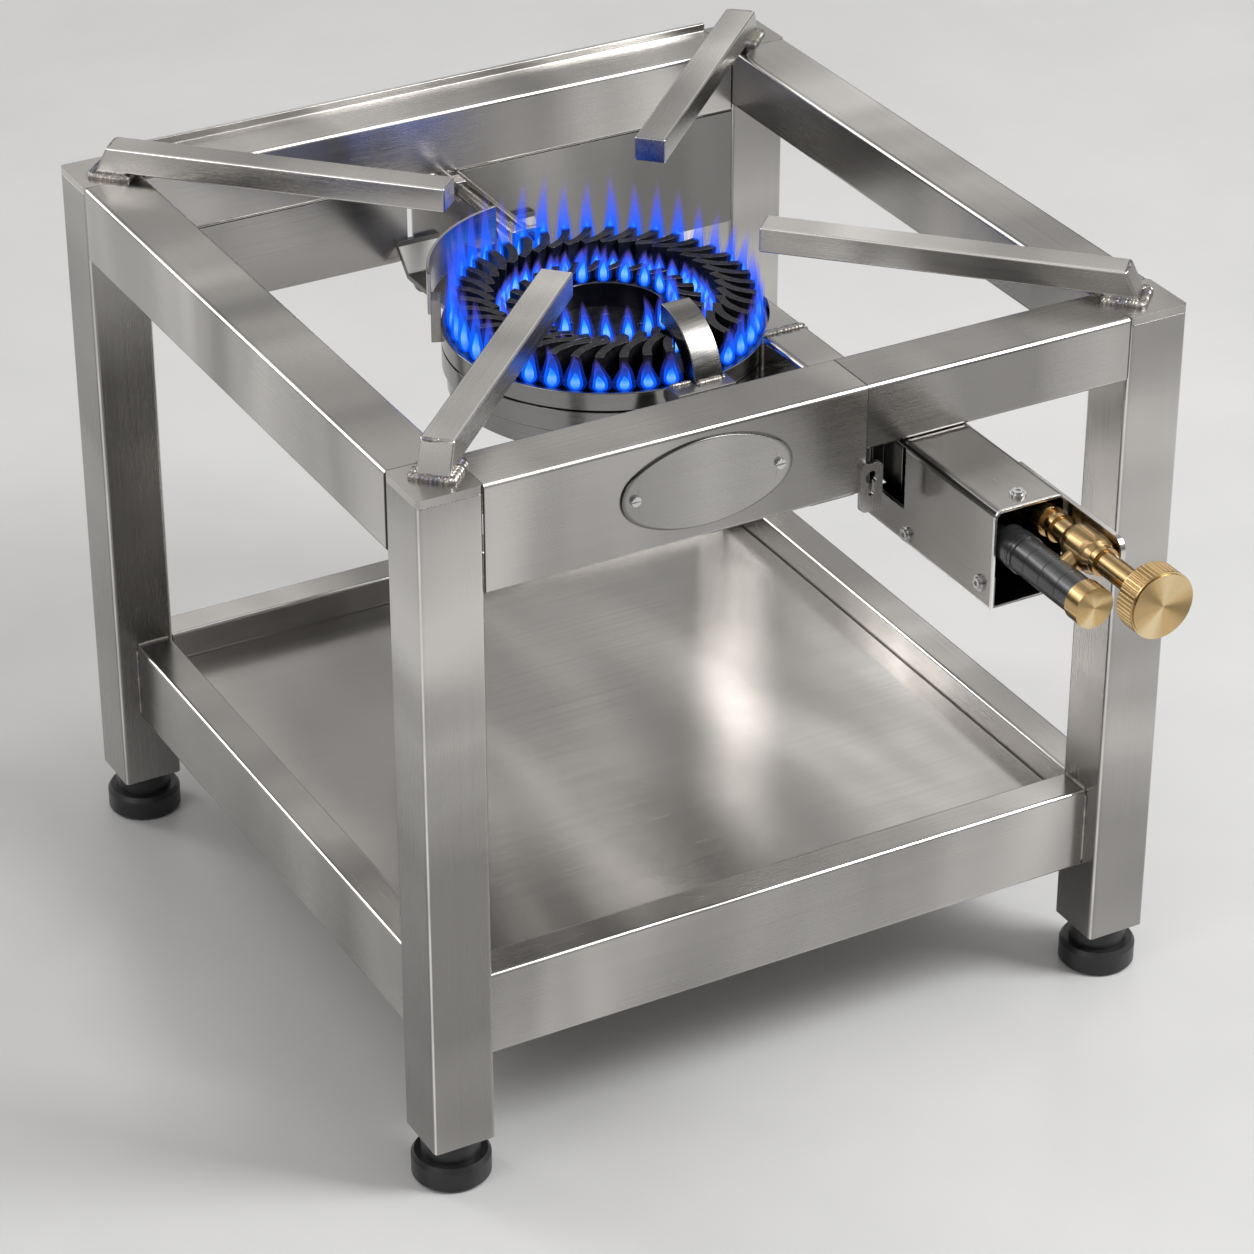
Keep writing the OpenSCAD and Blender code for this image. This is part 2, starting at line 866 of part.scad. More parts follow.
module crown(in_r, out_r, height, fins, length) {
  translate([0, 0, deck_z]) {
    linear_extrude(crown_base) difference() {
      circle(r = out_r, $fn = 128);
      circle(r = in_r, $fn = 128);
    }
    for (i = [0 : fins - 1])
      rotate([0, 0, i * 360 / fins]) translate([(in_r + out_r) / 2, 0, 0])
        rotate([0, 0, -90 - fin_swirl]) translate([-fin_curve, 0, 0])
          linear_extrude(height) fin_plan(length);
  }
}

module outer_crown() {
  color("#1d1d1f") placed() difference() {
    crown(outer_in_r, outer_out_r, outer_height, outer_fins, outer_fin_length);
    // room for the clamp arch
    translate([arch_x - arch_width / 2 - arch_gap, -burner_r, deck_z + crown_base])
      cube([arch_width + 2 * arch_gap, burner_r - outer_in_r - 1, outer_height]);
  }
}

module inner_crown() {
  color("#1d1d1f") placed() crown(inner_in_r, inner_out_r, inner_height, inner_fins, inner_fin_length);
}

module rosette() {
  color("#2a2b2d") placed() translate([0, 0, ledge_z]) difference() {
    cylinder(r = well_r, h = rosette_thick);
    for (i = [0 : rosette_holes - 1])
      rotate([0, 0, i * 360 / rosette_holes]) translate([rosette_ring, 0, -1])
        cylinder(d = rosette_hole, h = rosette_thick + 2, $fn = 24);
  }
}

module block_shape() {
  difference() {
    translate([arch_x + 5 - block_length / 2 - 11, -burner_r - block_depth, rim_z + block_rise - block_height])
      cube([block_length, 2 * block_depth, block_height]);
    translate([0, 0, base_z]) cylinder(r = burner_r, h = burner_drop, $fn = 128);
  }
}

module clamp_block() {
  color("#8e9094") placed() block_shape();
}

module burner_clamp() {
  color("#9a9ca0") placed() difference() {
    translate([arch_x, arch_end_y, arch_z]) across(arch_width) difference() {
      intersection() {
        circle(r = arch_r, $fn = 96);
        translate([-2 * arch_r, 0]) square([2 * arch_r, 2 * arch_r]);
      }
      circle(r = arch_r - arch_thick, $fn = 96);
    }
    translate([0, 0, base_z]) cylinder(r = burner_r, h = rim_z - base_z, $fn = 128);
    block_shape();
  }
}

module wind_shield() {
  color("#b9bcc0") placed() {
    translate([0, 0, rim_z + wind_rise]) linear_extrude(wind_height) intersection() {
      difference() {
        circle(r = wind_r + wind_thick, $fn = 128);
        circle(r = wind_r, $fn = 128);
      }
      slice(wind_from, wind_to, 1.5 * wind_r);
    }
    for (a = [wind_from + lug_angle, wind_to - lug_angle])
      translate([0, 0, rim_z - band_top + 1]) linear_extrude(band_top + wind_rise + 5) intersection() {
        difference() {
          circle(r = wind_r, $fn = 128);
          circle(r = burner_r, $fn = 128);
        }
        slice(a - lug_angle / 2, a + lug_angle / 2, 1.5 * wind_r);
      }
  }
}

module pilot_tube() {
  color("#b08d57") placed() {
    difference() {
      rod(pilot_x, pilot_z, pilot_tip, inner, pilot_d);
      rod(pilot_x, pilot_z, pilot_tip - 1, inner - 5, pilot_d - 2);
    }
    rod(igniter_x, pilot_z, pilot_tip, inner, igniter_d);
  }
}

module pilot_nut() {
  back = inner - pilot_nut_back;
  color("#b08d57") placed() difference() {
    translate([pilot_x, back, pilot_z]) rotate([90, 0, 0])
      cylinder(d = pilot_nut_af / cos(30), h = pilot_nut_length, $fn = 6);
    rod(pilot_x, pilot_z, back - pilot_nut_length - 1, back + 1, pilot_d);
    rod(igniter_x, pilot_z, back - pilot_nut_length - 1, back + 1, igniter_d + 0.6);
  }
}

module pilot_clip() {
  low = rim_z - band_top + 1;
  color("#8e9094") placed() difference() {
    translate([-clip_width / 2, burner_r - 2, low])
      cube([clip_width, clip_depth + 2, clip_rise + band_top - 1]);
    translate([0, 0, base_z]) cylinder(r = burner_r, h = 2 * burner_drop, $fn = 128);
    rod(pilot_x, pilot_z, burner_r - 5, burner_r + clip_depth + 1, pilot_d);
    rod(igniter_x, pilot_z, burner_r - 5, burner_r + clip_depth + 1, igniter_d);
  }
}

// Gas channel

module burner_neck() {
  low = channel_top - channel_height;
  length = -channel_seam_y - 20;
  color("#a4a7ab") placed() difference() {
    translate([channel_x, channel_seam_y + length / 2, channel_z])
      along(length) hollow(channel_width, channel_height, channel_corner, channel_wall);
    translate([0, 0, low - 1]) cylinder(r = burner_r, h = channel_height + 2, $fn = 128);
  }
}

module gas_channel() {
  length = channel_seam_y - channel_front_y;
  color("#a4a7ab") placed() translate([channel_x, channel_front_y + length / 2, channel_z])
    along(length) hollow(channel_width, channel_height, channel_corner, channel_wall);
}

module mixing_tube() {
  front = channel_front_y + mix_inset;
  back = channel_seam_y - 6;
  color("#9a9ca0") placed() difference() {
    union() {
      rod(channel_x, channel_z, front, back, mix_d);
      for (y = [front + 20, back - 20])
        translate([channel_x, y, channel_z]) along(2)
          rounded(channel_width - 2 * channel_wall, channel_height - 2 * channel_wall, channel_corner - channel_wall);
    }
    rod(channel_x, channel_z, front - 1, back + 1, mix_d - 2 * mix_wall);
  }
}

module injector() {
  back = outlet_y + outlet_depth;
  color("#b5893f") placed() difference() {
    union() {
      translate([channel_x - 5 - outlet_width / 2, outlet_y, outlet_z - outlet_height / 2])
        cube([outlet_width, outlet_depth, outlet_height]);
      rod(channel_x, outlet_z, back - 1, back + nozzle_length, nozzle_d);
    }
    rod(channel_x, outlet_z, back - 5, back + nozzle_length + 1, nozzle_bore);
  }
}

// Valve cover

module cover_section() {
  difference() {
    rounded(cover_width, cover_height, cover_fold);
    rounded(cover_width - 2 * cover_wall, cover_height - 2 * cover_wall, cover_fold - cover_wall);
    translate([-cover_width / 2 + cover_wall, -cover_height / 2 - 1])
      square([cover_width - 2 * cover_wall, cover_height / 2]);
  }
  // straight lower ends of both sides
  for (s = [-1, 1])
    translate([s * (cover_width - cover_wall) / 2 - cover_wall / 2, -cover_height / 2])
      square([cover_wall, cover_height / 2]);
}

module side_screws() {
  for (i = [0, 1], s = [-1, 1]) {
    y = cover_front + screw_front + i * screw_pitch;
    z = cover_bottom + (i == 0 ? screw_up : screw_up_back);
    translate([cover_x + s * cover_width / 2, y, z]) rotate([0, s * 90, 0]) children();
  }
}

module top_screw() {
  translate([cover_x - 1, cover_front + screw_front, cover_top]) children();
}

module valve_cover() {
  length = cover_end - cover_front;
  color("#b4b7bb") placed() difference() {
    translate([cover_x, cover_front + length / 2, cover_top - cover_height / 2]) along(length) cover_section();
    // air window in the left side, under the rail
    translate([cover_left, -half - window_front + window_length / 2, cover_top - window_drop - window_height / 2])
      across(4 * cover_wall) rounded(window_length, window_height, window_corner);
    side_screws() translate([0, 0, -3]) cylinder(d = screw_d + 2 * screw_gap, h = 6, $fn = 32);
    top_screw() translate([0, 0, -3]) cylinder(d = screw_d + 2 * screw_gap, h = 6, $fn = 32);
  }
}

module valve_tray() {
  length = cover_end - cover_front - 2;
  w = cover_width - 2 * cover_wall;
  color("#9fa2a6") placed() difference() {
   union() {
    translate([cover_x, cover_front + 1 + length / 2, cover_bottom]) along(length) {
      translate([-w / 2, 0]) square([w, cover_wall]);
      translate([-w / 2, 0]) square([cover_wall, tray_height]);
      translate([w / 2 - cover_wall, 0]) square([cover_wall, tray_height]);
    }
    // upturned rear end, round the gas channel
    difference() {
      translate([cover_x - w / 2, cover_end - 1 - cover_wall, cover_bottom])
        cube([w, cover_wall, cover_height - cover_fold]);
      translate([channel_x, cover_end, channel_z]) cube([channel_width + 1, 10, channel_height + 1], center = true);
    }
   }
    side_screws() translate([0, 0, -6]) cylinder(d = screw_d, h = 8, $fn = 32);
    translate([inlet_x, inlet_y, cover_bottom - 1]) cylinder(d = inlet_d + 2 * inlet_gap, h = 4);
  }
}

module one_screw() {
  difference() {
    union() {
      rotate_extrude($fn = 32) {
        square([screw_head_d / 2, screw_head_h * 0.45]);
        square([screw_head_d / 2 - 1.2, screw_head_h]);
      }
      translate([0, 0, -screw_length + 0]) cylinder(d = screw_d, h = screw_length + 0.5, $fn = 32);
    }
    translate([0, 0, screw_head_h - 1.6]) cylinder(d = 3 / cos(30), h = 3, $fn = 6);
  }
}

module cover_screws() {
  color("#c9ccd0") placed() {
    side_screws() one_screw();
    top_screw() one_screw();
  }
}

module valve_guard() {
  length = guard_reach + guard_hold;
  color("#b4b7bb") placed()
    translate([cover_right + guard_thick / 2, cover_front - guard_reach + length / 2, cover_top - guard_drop - guard_height / 2])
      across(guard_thick) {
        translate([guard_corner / 2, 0]) square([length - guard_corner, guard_height], center = true);
        square([length, guard_height - 2 * guard_corner], center = true);
        for (s = [-1, 1])
          translate([guard_corner - length / 2, s * (guard_height / 2 - guard_corner)]) circle(r = guard_corner);
      }
}

// Front fittings

module keyhole_bracket() {
  z = frame_height - key_drop - key_height / 2;
  color("#a4a7ab") placed() translate([key_x, -half - key_thick / 2, z]) along(key_thick) difference() {
    rounded(key_width, key_height, 4);
    translate([0, key_height / 2 - 9]) circle(d = key_hole);
    translate([-key_slot / 2, key_height / 2 - 9 - key_slot_length]) square([key_slot, key_slot_length]);
    translate([0, key_height / 2 - 9 - key_slot_length]) circle(d = key_slot, $fn = 32);
  }
}

module name_plate() {
  color("#d2d4d6") placed() translate([plate_x, -half - plate_thick / 2, frame_height - plate_drop])
    along(plate_thick) difference() {
      union() {
        for (s = [-1, 1])
          translate([s * plate_end_x, 0]) circle(r = plate_end_r + 0.1);
        intersection() {
          translate([0, -plate_c]) circle(r = plate_big_r, $fn = 128);
          translate([0, plate_c]) circle(r = plate_big_r, $fn = 128);
          square([2 * plate_meet - 1, plate_height + 2], center = true);
        }
      }
      for (s = [-1, 1])
        translate([s * plate_screw_x, 0]) circle(d = plate_screw_d, $fn = 32);
    }
}

module plate_screws() {
  face = -half - plate_thick;
  color("#c9ccd0") placed() for (s = [-1, 1]) {
    x = plate_x + s * plate_screw_x;
    z = frame_height - plate_drop;
    difference() {
      rod(x, z, face - plate_head_h, face, plate_head_d);
      translate([x - plate_head_d, face - plate_head_h - 1, z - 0.5]) cube([2 * plate_head_d, 1.8, 1]);
    }
    rod(x, z, face, face + plate_screw_length, plate_screw_d);
  }
}

// Valve set

module gas_inlet() {
  low = cover_bottom - inlet_reach;
  hex_z = cover_bottom + cover_wall;
  color("#b5893f") placed() difference() {
    union() {
      translate([inlet_x, inlet_y, low]) cylinder(d = inlet_d, h = inlet_reach - inlet_relief);
      translate([inlet_x, inlet_y, low + 1]) cylinder(d = inlet_d - 2 * inlet_groove, h = hex_z - low);
      translate([inlet_x, inlet_y, hex_z]) rotate([0, 0, 30]) cylinder(d = inlet_af / cos(30), h = inlet_hex, $fn = 6);
      translate([inlet_x, inlet_y, hex_z + 1]) cylinder(d = inlet_d - 4, h = valve_z - elbow_size / 2 - hex_z);
      // elbow block that holds the supply pipe
      translate([valve_x - 1, inlet_y, valve_z]) cube([elbow_size, elbow_size, elbow_size], center = true);
    }
    translate([inlet_x, inlet_y, low - 1]) cylinder(d = inlet_bore, h = valve_z - low + 3);
    rod(valve_x, valve_z, inlet_y - inlet_d, inlet_y - 2, pipe_d);
  }
}

module supply_pipe() {
  back = inlet_y - 2;
  front = hub_y + hub_length / 2;
  color("#c08a3e") placed() difference() {
    union() {
      rod(valve_x, valve_z, front, back, pipe_d);
      rod(valve_x, valve_z, cover_front - 4, cover_front - 4 + collar_length, collar_d);
      rod(valve_x, valve_z, cover_front - 13, cover_front - 10, collar_d - 1);
    }
    rod(valve_x, valve_z, front + 6, back + 1, pipe_d - 4);
  }
}

module valve_body() {
  color("#c79a4b") placed() difference() {
    union() {
      translate([valve_x, hub_y + hub_length / 2, valve_z]) rotate([90, 0, 0]) {
        rotate_extrude() polygon([
          [0, 0],
          [hub_d / 2 - hub_chamfer / 2, 0],
          [hub_d / 2 - 0.6, hub_chamfer * 0.7],
          [hub_d / 2, hub_chamfer * 1.6],
          [hub_d / 2, hub_length - hub_chamfer * 1.6],
          [hub_d / 2 - 0.6, hub_length - hub_chamfer * 0.7],
          [hub_d / 2 - hub_chamfer / 2, hub_length],
          [0, hub_length]
        ]);
        cylinder(d = sleeve_d, h = hub_length + sleeve_length);
        cylinder(d = sleeve_ring_d, h = hub_length + sleeve_ring);
        translate([0, 0, hub_length + sleeve_length - sleeve_ring]) cylinder(d = sleeve_ring_d, h = sleeve_ring);
      }
      // branch to the barrel
      translate([valve_x, hub_y, valve_z])
        rotate([0, atan2(barrel_x - valve_x, barrel_z - valve_z), 0])
          cylinder(d = pipe_d, h = sqrt(pow(barrel_x - valve_x, 2) + pow(barrel_z - valve_z, 2)));
    }
    rod(barrel_x, barrel_z, hub_y - 2 * pipe_d, hub_y + 2 * pipe_d, barrel_d);
    rod(valve_x, valve_z, sleeve_front - 1, sleeve_front + sleeve_length + spindle_deep, spindle_d + 2 * spindle_gap);
  }
}

module spindle() {
  color("#d8c08a") placed()
    rod(valve_x, valve_z, knob_face + 6, sleeve_front + sleeve_length + spindle_deep - 1, spindle_d);
}

module knob() {
  color("#c9a45c") placed() translate([valve_x, knob_face + knob_length, valve_z]) rotate([90, 0, 0]) difference() {
    rotate_extrude($fn = 96) {
      square([knob_d / 2 - 1, knob_length]);
      translate([0, 1]) square([knob_d / 2, knob_length - 2]);
    }
    for (i = [0 : knob_lines - 1])
      rotate([0, 0, i * 360 / knob_lines]) translate([knob_d / 2 + 0.2, 0, -1])
        cylinder(r = knob_line_r, h = knob_length + 1 - knob_rim, $fn = 16);
    translate([0, 0, -1]) cylinder(d = spindle_d, h = knob_length - 5);
  }
}

module barrel() {
  rings = floor((barrel_length - 16) / ring_pitch);
  color("#77797d") placed() difference() {
    union() {
      rod(barrel_x, barrel_z, barrel_front, barrel_back, barrel_d);
      rod(barrel_x, barrel_z, cover_front - 3 - barrel_collar, cover_front - 3, barrel_collar_d);
      rod(barrel_x, barrel_z, barrel_back - 1, outlet_y, outlet_d);
    }
    for (i = [1 : rings])
      translate([barrel_x, barrel_back - i * ring_pitch, barrel_z]) rotate([90, 0, 0])
        difference() {
          cylinder(d = barrel_d + 4, h = ring_line);
          translate([0, 0, -1]) cylinder(d = barrel_d - 2 * ring_deep, h = ring_line + 2);
        }
  }
}

module button() {
  open_end = button_face + button_length;
  color("#c79a4b") placed() difference() {
    rod(barrel_x, barrel_z, button_face, open_end, 2 * (button_r + button_wall));
    rod(barrel_x, barrel_z, button_face + button_end, open_end + 1, 2 * button_r);
  }
}

// Feet

module leg_inserts() {
  color("#2c2d2f") placed() for (sx = [-1, 1], sy = [-1, 1])
    translate([sx * leg_at, sy * leg_at, foot_height]) difference() {
      linear_extrude(insert_height) rounded(inside, inside, inside_corner);
      translate([0, 0, -1]) cylinder(d = stem_d + 2 * stem_gap, h = insert_height + 2);
    }
}

module foot(sx, sy) {
  top = foot_height - foot_gap;
  color("#1a1b1c") placed() translate([sx * leg_at, sy * leg_at, 0]) {
    rotate_extrude() polygon([
      [0, 0],
      [foot_d / 2 - 2, 0],
      [foot_d / 2, 2],
      [foot_d / 2, foot_cup - 3],
      [foot_d / 2 - 2, foot_cup],
      [foot_neck_d / 2, foot_cup],
      [foot_neck_d / 2, top],
      [0, top]
    ]);
    translate([0, 0, top - 1]) cylinder(d = stem_d, h = stem_length + 1);
  }
}

module foot_front_left() {
  foot(-1, -1);
}

module foot_front_right() {
  foot(1, -1);
}

module foot_back_left() {
  foot(-1, 1);
}

module foot_back_right() {
  foot(1, 1);
}

leg_front_left();
leg_front_right();
leg_back_left();
leg_back_right();
corner_cap_front_left();
corner_cap_front_right();
corner_cap_back_left();
corner_cap_back_right();
left_rail();
right_rail();
back_rail();
front_apron();
front_rail();
back_panel();
rear_shield();
shelf_rail_front();
shelf_rail_back();
shelf_rail_left();
shelf_rail_right();
shelf_floor();
pan_bar_front_left();
pan_bar_front_right();
pan_bar_back_left();
pan_bar_back_right();
bar_welds();
burner_strap_left();
burner_strap_right();
burner_base();
outer_crown();
inner_crown();
rosette();
burner_clamp();
clamp_block();
wind_shield();
pilot_tube();
pilot_nut();
pilot_clip();
burner_neck();
gas_channel();
mixing_tube();
injector();
valve_cover();
valve_tray();
cover_screws();
valve_guard();
keyhole_bracket();
name_plate();
plate_screws();
gas_inlet();
supply_pipe();
valve_body();
spindle();
knob();
barrel();
button();
leg_inserts();
foot_front_left();
foot_front_right();
foot_back_left();
foot_back_right();
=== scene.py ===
"""Single burner stove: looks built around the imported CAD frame."""
import math
import random

import bpy
from mathutils import Vector, Matrix


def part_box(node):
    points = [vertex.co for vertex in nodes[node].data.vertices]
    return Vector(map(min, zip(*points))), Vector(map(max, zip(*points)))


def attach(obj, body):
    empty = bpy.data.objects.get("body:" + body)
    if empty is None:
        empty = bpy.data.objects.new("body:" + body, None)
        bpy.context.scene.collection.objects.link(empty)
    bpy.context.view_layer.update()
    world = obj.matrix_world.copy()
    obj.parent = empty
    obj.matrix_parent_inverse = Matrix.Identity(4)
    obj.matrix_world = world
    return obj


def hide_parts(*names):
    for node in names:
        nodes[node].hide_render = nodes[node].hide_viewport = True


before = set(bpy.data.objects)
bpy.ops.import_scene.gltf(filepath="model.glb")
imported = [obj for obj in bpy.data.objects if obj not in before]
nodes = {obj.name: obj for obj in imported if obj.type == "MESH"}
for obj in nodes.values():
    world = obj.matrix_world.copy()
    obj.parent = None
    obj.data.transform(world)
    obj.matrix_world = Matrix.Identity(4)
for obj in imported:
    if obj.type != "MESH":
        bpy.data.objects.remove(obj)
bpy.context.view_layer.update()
random.seed(7)


# Places read from the frame, in metres
def sides(name):
    """Low and high corner of a CAD node, to a hundredth of a millimetre."""
    return [tuple(round(c, 5) for c in corner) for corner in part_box(name)]


def middle(name):
    """Middle of a CAD node's box."""
    lo, hi = sides(name)
    return tuple((a + b) / 2 for a, b in zip(lo, hi))


MID_Y = middle("left_rail")[1]                # middle of the square frame along Y
TOP = sides("corner_cap_front_left")[1][2]    # frame top
DECK = sides("outer_crown")[0][2]             # burner deck
SEAM = sides("front_rail")[0][0]              # joint between apron and front rail
CORNER = sides("front_rail")[1][0]            # inner faces of the legs, from the frame's middle
CENTRE = (0, MID_Y, 0)                        # the upright axis through the frame and the burner


# Node helpers
class Nodes:
    """Short calls that build a node tree."""

    def __init__(self, tree):
        self.tree = tree
        tree.nodes.clear()

    def node(self, kind, **props):
        n = self.tree.nodes.new(kind)
        for key, value in props.items():
            setattr(n, key, value)
        return n

    def put(self, value, socket):
        """Links an output to a socket, or sets the socket's own value."""
        if isinstance(value, bpy.types.NodeSocket):
            self.tree.links.new(value, socket)
        elif value is not None:
            socket.default_value = value

    def math(self, op, a, b=None, clamp=False):
        n = self.node("ShaderNodeMath", operation=op, use_clamp=clamp)
        self.put(a, n.inputs[0])
        self.put(b, n.inputs[1])
        return n.outputs[0]

    def plus(self, a, b):
        return self.math("ADD", a, b)

    def minus(self, a, b):
        return self.math("SUBTRACT", a, b)

    def times(self, a, b):
        return self.math("MULTIPLY", a, b)

    def over(self, a, b):
        return self.math("GREATER_THAN", a, b)

    def under(self, a, b):
        return self.math("LESS_THAN", a, b)

    def apart(self, a, b):
        """Distance between two values."""
        return self.math("ABSOLUTE", self.minus(a, b))

    def length(self, a, b):
        """Length of the flat vector (a, b)."""
        return self.math("SQRT", self.plus(self.times(a, a), self.times(b, b)))

    def mix(self, fac, a, b, blend="MIX"):
        n = self.node("ShaderNodeMix", data_type="RGBA", blend_type=blend)
        self.put(fac, n.inputs[0])
        self.put(a, n.inputs[6])
        self.put(b, n.inputs[7])
        return n.outputs[2]

    def noise(self, vec, scale=1.0, detail=2.0, rough=0.5, distort=0.0):
        n = self.node("ShaderNodeTexNoise")
        self.put(vec, n.inputs["Vector"])
        n.inputs["Scale"].default_value = scale
        n.inputs["Detail"].default_value = detail
        n.inputs["Roughness"].default_value = rough
        n.inputs["Distortion"].default_value = distort
        return n.outputs["Fac"]

    def ramp(self, fac, stops):
        """A colour ramp: each stop is a place and a grey level or a colour."""
        n = self.node("ShaderNodeValToRGB")
        marks = n.color_ramp.elements
        while len(marks) < len(stops):
            marks.new(0.5)
        for mark, (place, value) in zip(marks, stops):
            rgb = value if isinstance(value, tuple) else (value, value, value)
            mark.position = place
            mark.color = (*rgb, 1)
        self.put(fac, n.inputs[0])
        return n.outputs[0]

    def span(self, value, lo, hi, a=0.0, b=1.0):
        """Carries lo to hi over to a to b and holds the ends."""
        n = self.node("ShaderNodeMapRange", clamp=True)
        self.put(value, n.inputs[0])
        for i, x in enumerate((lo, hi, a, b)):
            n.inputs[i + 1].default_value = x
        return n.outputs[0]

    def split(self, vec):
        """The x, y and z of a vector."""
        n = self.node("ShaderNodeSeparateXYZ")
        self.put(vec, n.inputs[0])
        return n.outputs

    def joined(self, values):
        """A vector made of three values."""
        n = self.node("ShaderNodeCombineXYZ")
        for value, socket in zip(values, n.inputs):
            self.put(value, socket)
        return n.outputs[0]

    def coords(self):
        return self.node("ShaderNodeTexCoord").outputs["Object"]

    def facing(self):
        """The x, y and z of the direction that the surface faces."""
        return self.split(self.node("ShaderNodeNewGeometry").outputs["Normal"])

    def moved(self, vec, loc=(0, 0, 0), rot=(0, 0, 0), scale=(1, 1, 1)):
        n = self.node("ShaderNodeMapping", vector_type="POINT")
        self.put(vec, n.inputs["Vector"])
        n.inputs["Location"].default_value = loc
        n.inputs["Rotation"].default_value = rot
        n.inputs["Scale"].default_value = scale
        return n.outputs[0]

    def bump(self, height, strength, distance, normal=None):
        n = self.node("ShaderNodeBump")
        n.inputs["Strength"].default_value = strength
        n.inputs["Distance"].default_value = distance
        self.put(height, n.inputs["Height"])
        self.put(normal, n.inputs["Normal"])
        return n.outputs[0]

    def world_way(self, way):
        """A direction given on the object, turned along with it."""
        n = self.node("ShaderNodeVectorTransform", vector_type="VECTOR",
                      convert_from="OBJECT", convert_to="WORLD")
        self.put(self.joined(way), n.inputs[0])
        return n.outputs[0]


class Mat(Nodes):
    """A material with its output node."""

    def __init__(self, name):
        self.made = bpy.data.materials.new(name)
        self.made.use_nodes = True
        super().__init__(self.made.node_tree)
        self.out = self.node("ShaderNodeOutputMaterial")

    def surface(self, **sockets):
        shader = self.node("ShaderNodeBsdfPrincipled")
        for key, value in sockets.items():
            self.put(value, shader.inputs[key.replace("_", " ")])
        self.tree.links.new(shader.outputs[0], self.out.inputs[0])


def shade(colour, gain, lift=0.0):
    """A colour made lighter or darker, with alpha 1."""
    return (*[min(1.0, c * gain + lift) for c in colour], 1)


def axis_coords(m, centre, axis):
    """Around an axis: turn, radius and place along it, all from object coordinates."""
    x, y, z = m.split(m.moved(m.coords(), loc=tuple(-c for c in centre)))
    a, b, along = {"X": (y, z, x), "Y": (x, z, y), "Z": (x, y, z)}[axis]
    return m.math("ARCTAN2", a, b), m.length(a, b), along


# Metals
SPREAD = 0.25        # turn of the stretched highlight: across the grain
REFLECTION_BANDS = 0.75         # strength of the painted light and dark reflection bands on brushed steel


def brushed(name, along, colour, rough, turn=0.0, seed=0.0, fine=1500.0, tint=None, mask=None):
    """Brushed stainless: fine grain along one direction, soft streaks, faint clouds and broad bands of
    painted reflection along the grain.
    """
    m = Mat(name)
    base = m.moved(m.coords(), loc=(seed, seed * 0.7, seed * 1.3), rot=(0, 0, turn))

    def drawn_out(long, across, **kind):
        scale = tuple(long if a else across for a in along)
        return m.noise(m.moved(base, scale=scale), **kind)

    grain = drawn_out(9.0, fine)
    streak = drawn_out(1.6, 190.0)
    reflection_bands = drawn_out(7.5, 2.2, rough=0.45, distort=0.3)
    cloud = m.noise(base, 8.0, 3.0, 0.55)
    lines = m.plus(m.times(grain, 0.6), m.times(streak, 0.4))
    col = m.mix(m.span(lines, 0.34, 0.66), shade(colour, 0.955), shade(colour, 1.03))
    col = m.mix(m.span(cloud, 0.4, 0.75, 0.0, 0.16), col, shade(colour, 0.86))
    # painted reflection: broad dark and light bands along the grain
    col = m.mix(m.span(reflection_bands, 0.36, 0.52, REFLECTION_BANDS, 0.0), col, shade(colour, 0.52))
    col = m.mix(m.span(reflection_bands, 0.52, 0.66, 0.0, REFLECTION_BANDS), col, shade(colour, 1.62, 0.03))
    if tint:
        col = tint(m, col)
    r = m.plus(m.span(grain, 0.3, 0.7, rough - 0.02, rough + 0.04),
               m.span(cloud, 0.35, 0.7, -0.03, 0.05))
    if mask:
        col, r = mask(m, col, r)
    x, y, z = along
    way = (x * math.cos(turn) + y * math.sin(turn), y * math.cos(turn) - x * math.sin(turn), z)
    m.surface(Base_Color=col, Metallic=1.0, Roughness=r, Normal=m.bump(grain, 0.022, 0.0001),
              Anisotropic=0.6, Anisotropic_Rotation=SPREAD, Tangent=m.world_way(way))
    return m.made


def turned(name, centre, axis, colour, rough, lines, metallic=1.0, depth=0.00006, marks_and_sheen=None, cone=0.65):
    """Metal turned on a lathe: fine rings round an axis."""
    m = Mat(name)
    turn, radius, place = axis_coords(m, centre, axis)
    ring = m.noise(m.joined((m.times(turn, 0.6), m.times(radius, lines), m.times(place, lines))),
                   1.0, 2.0, 0.55)
    cloud = m.noise(m.coords(), 38.0, 3.0, 0.55)
    col = m.mix(m.span(ring, 0.35, 0.65), shade(colour, 0.92), shade(colour, 1.06))
    col = m.mix(m.span(cloud, 0.4, 0.75, 0.0, 0.2), col, shade(colour, 0.82))
    # extra marks: real stains and lines on the burner, a painted highlight fan on the knob and button
    if marks_and_sheen:
        col = marks_and_sheen(m, col)
    r = m.plus(m.span(ring, 0.3, 0.7, rough - 0.03, rough + 0.05),
               m.span(cloud, 0.4, 0.7, -0.02, 0.05))
    a = m.math("SINE", turn)
    b = m.math("COSINE", turn)
    back = m.times(a, -1.0)
    round_way = {"X": (0.0, b, back), "Y": (b, 0.0, back), "Z": (b, back, 0.0)}[axis]
    m.surface(Base_Color=col, Metallic=metallic, Roughness=r, Normal=m.bump(ring, 0.12, depth),
              Anisotropic=cone, Anisotropic_Rotation=SPREAD, Tangent=m.world_way(round_way))
    return m.made


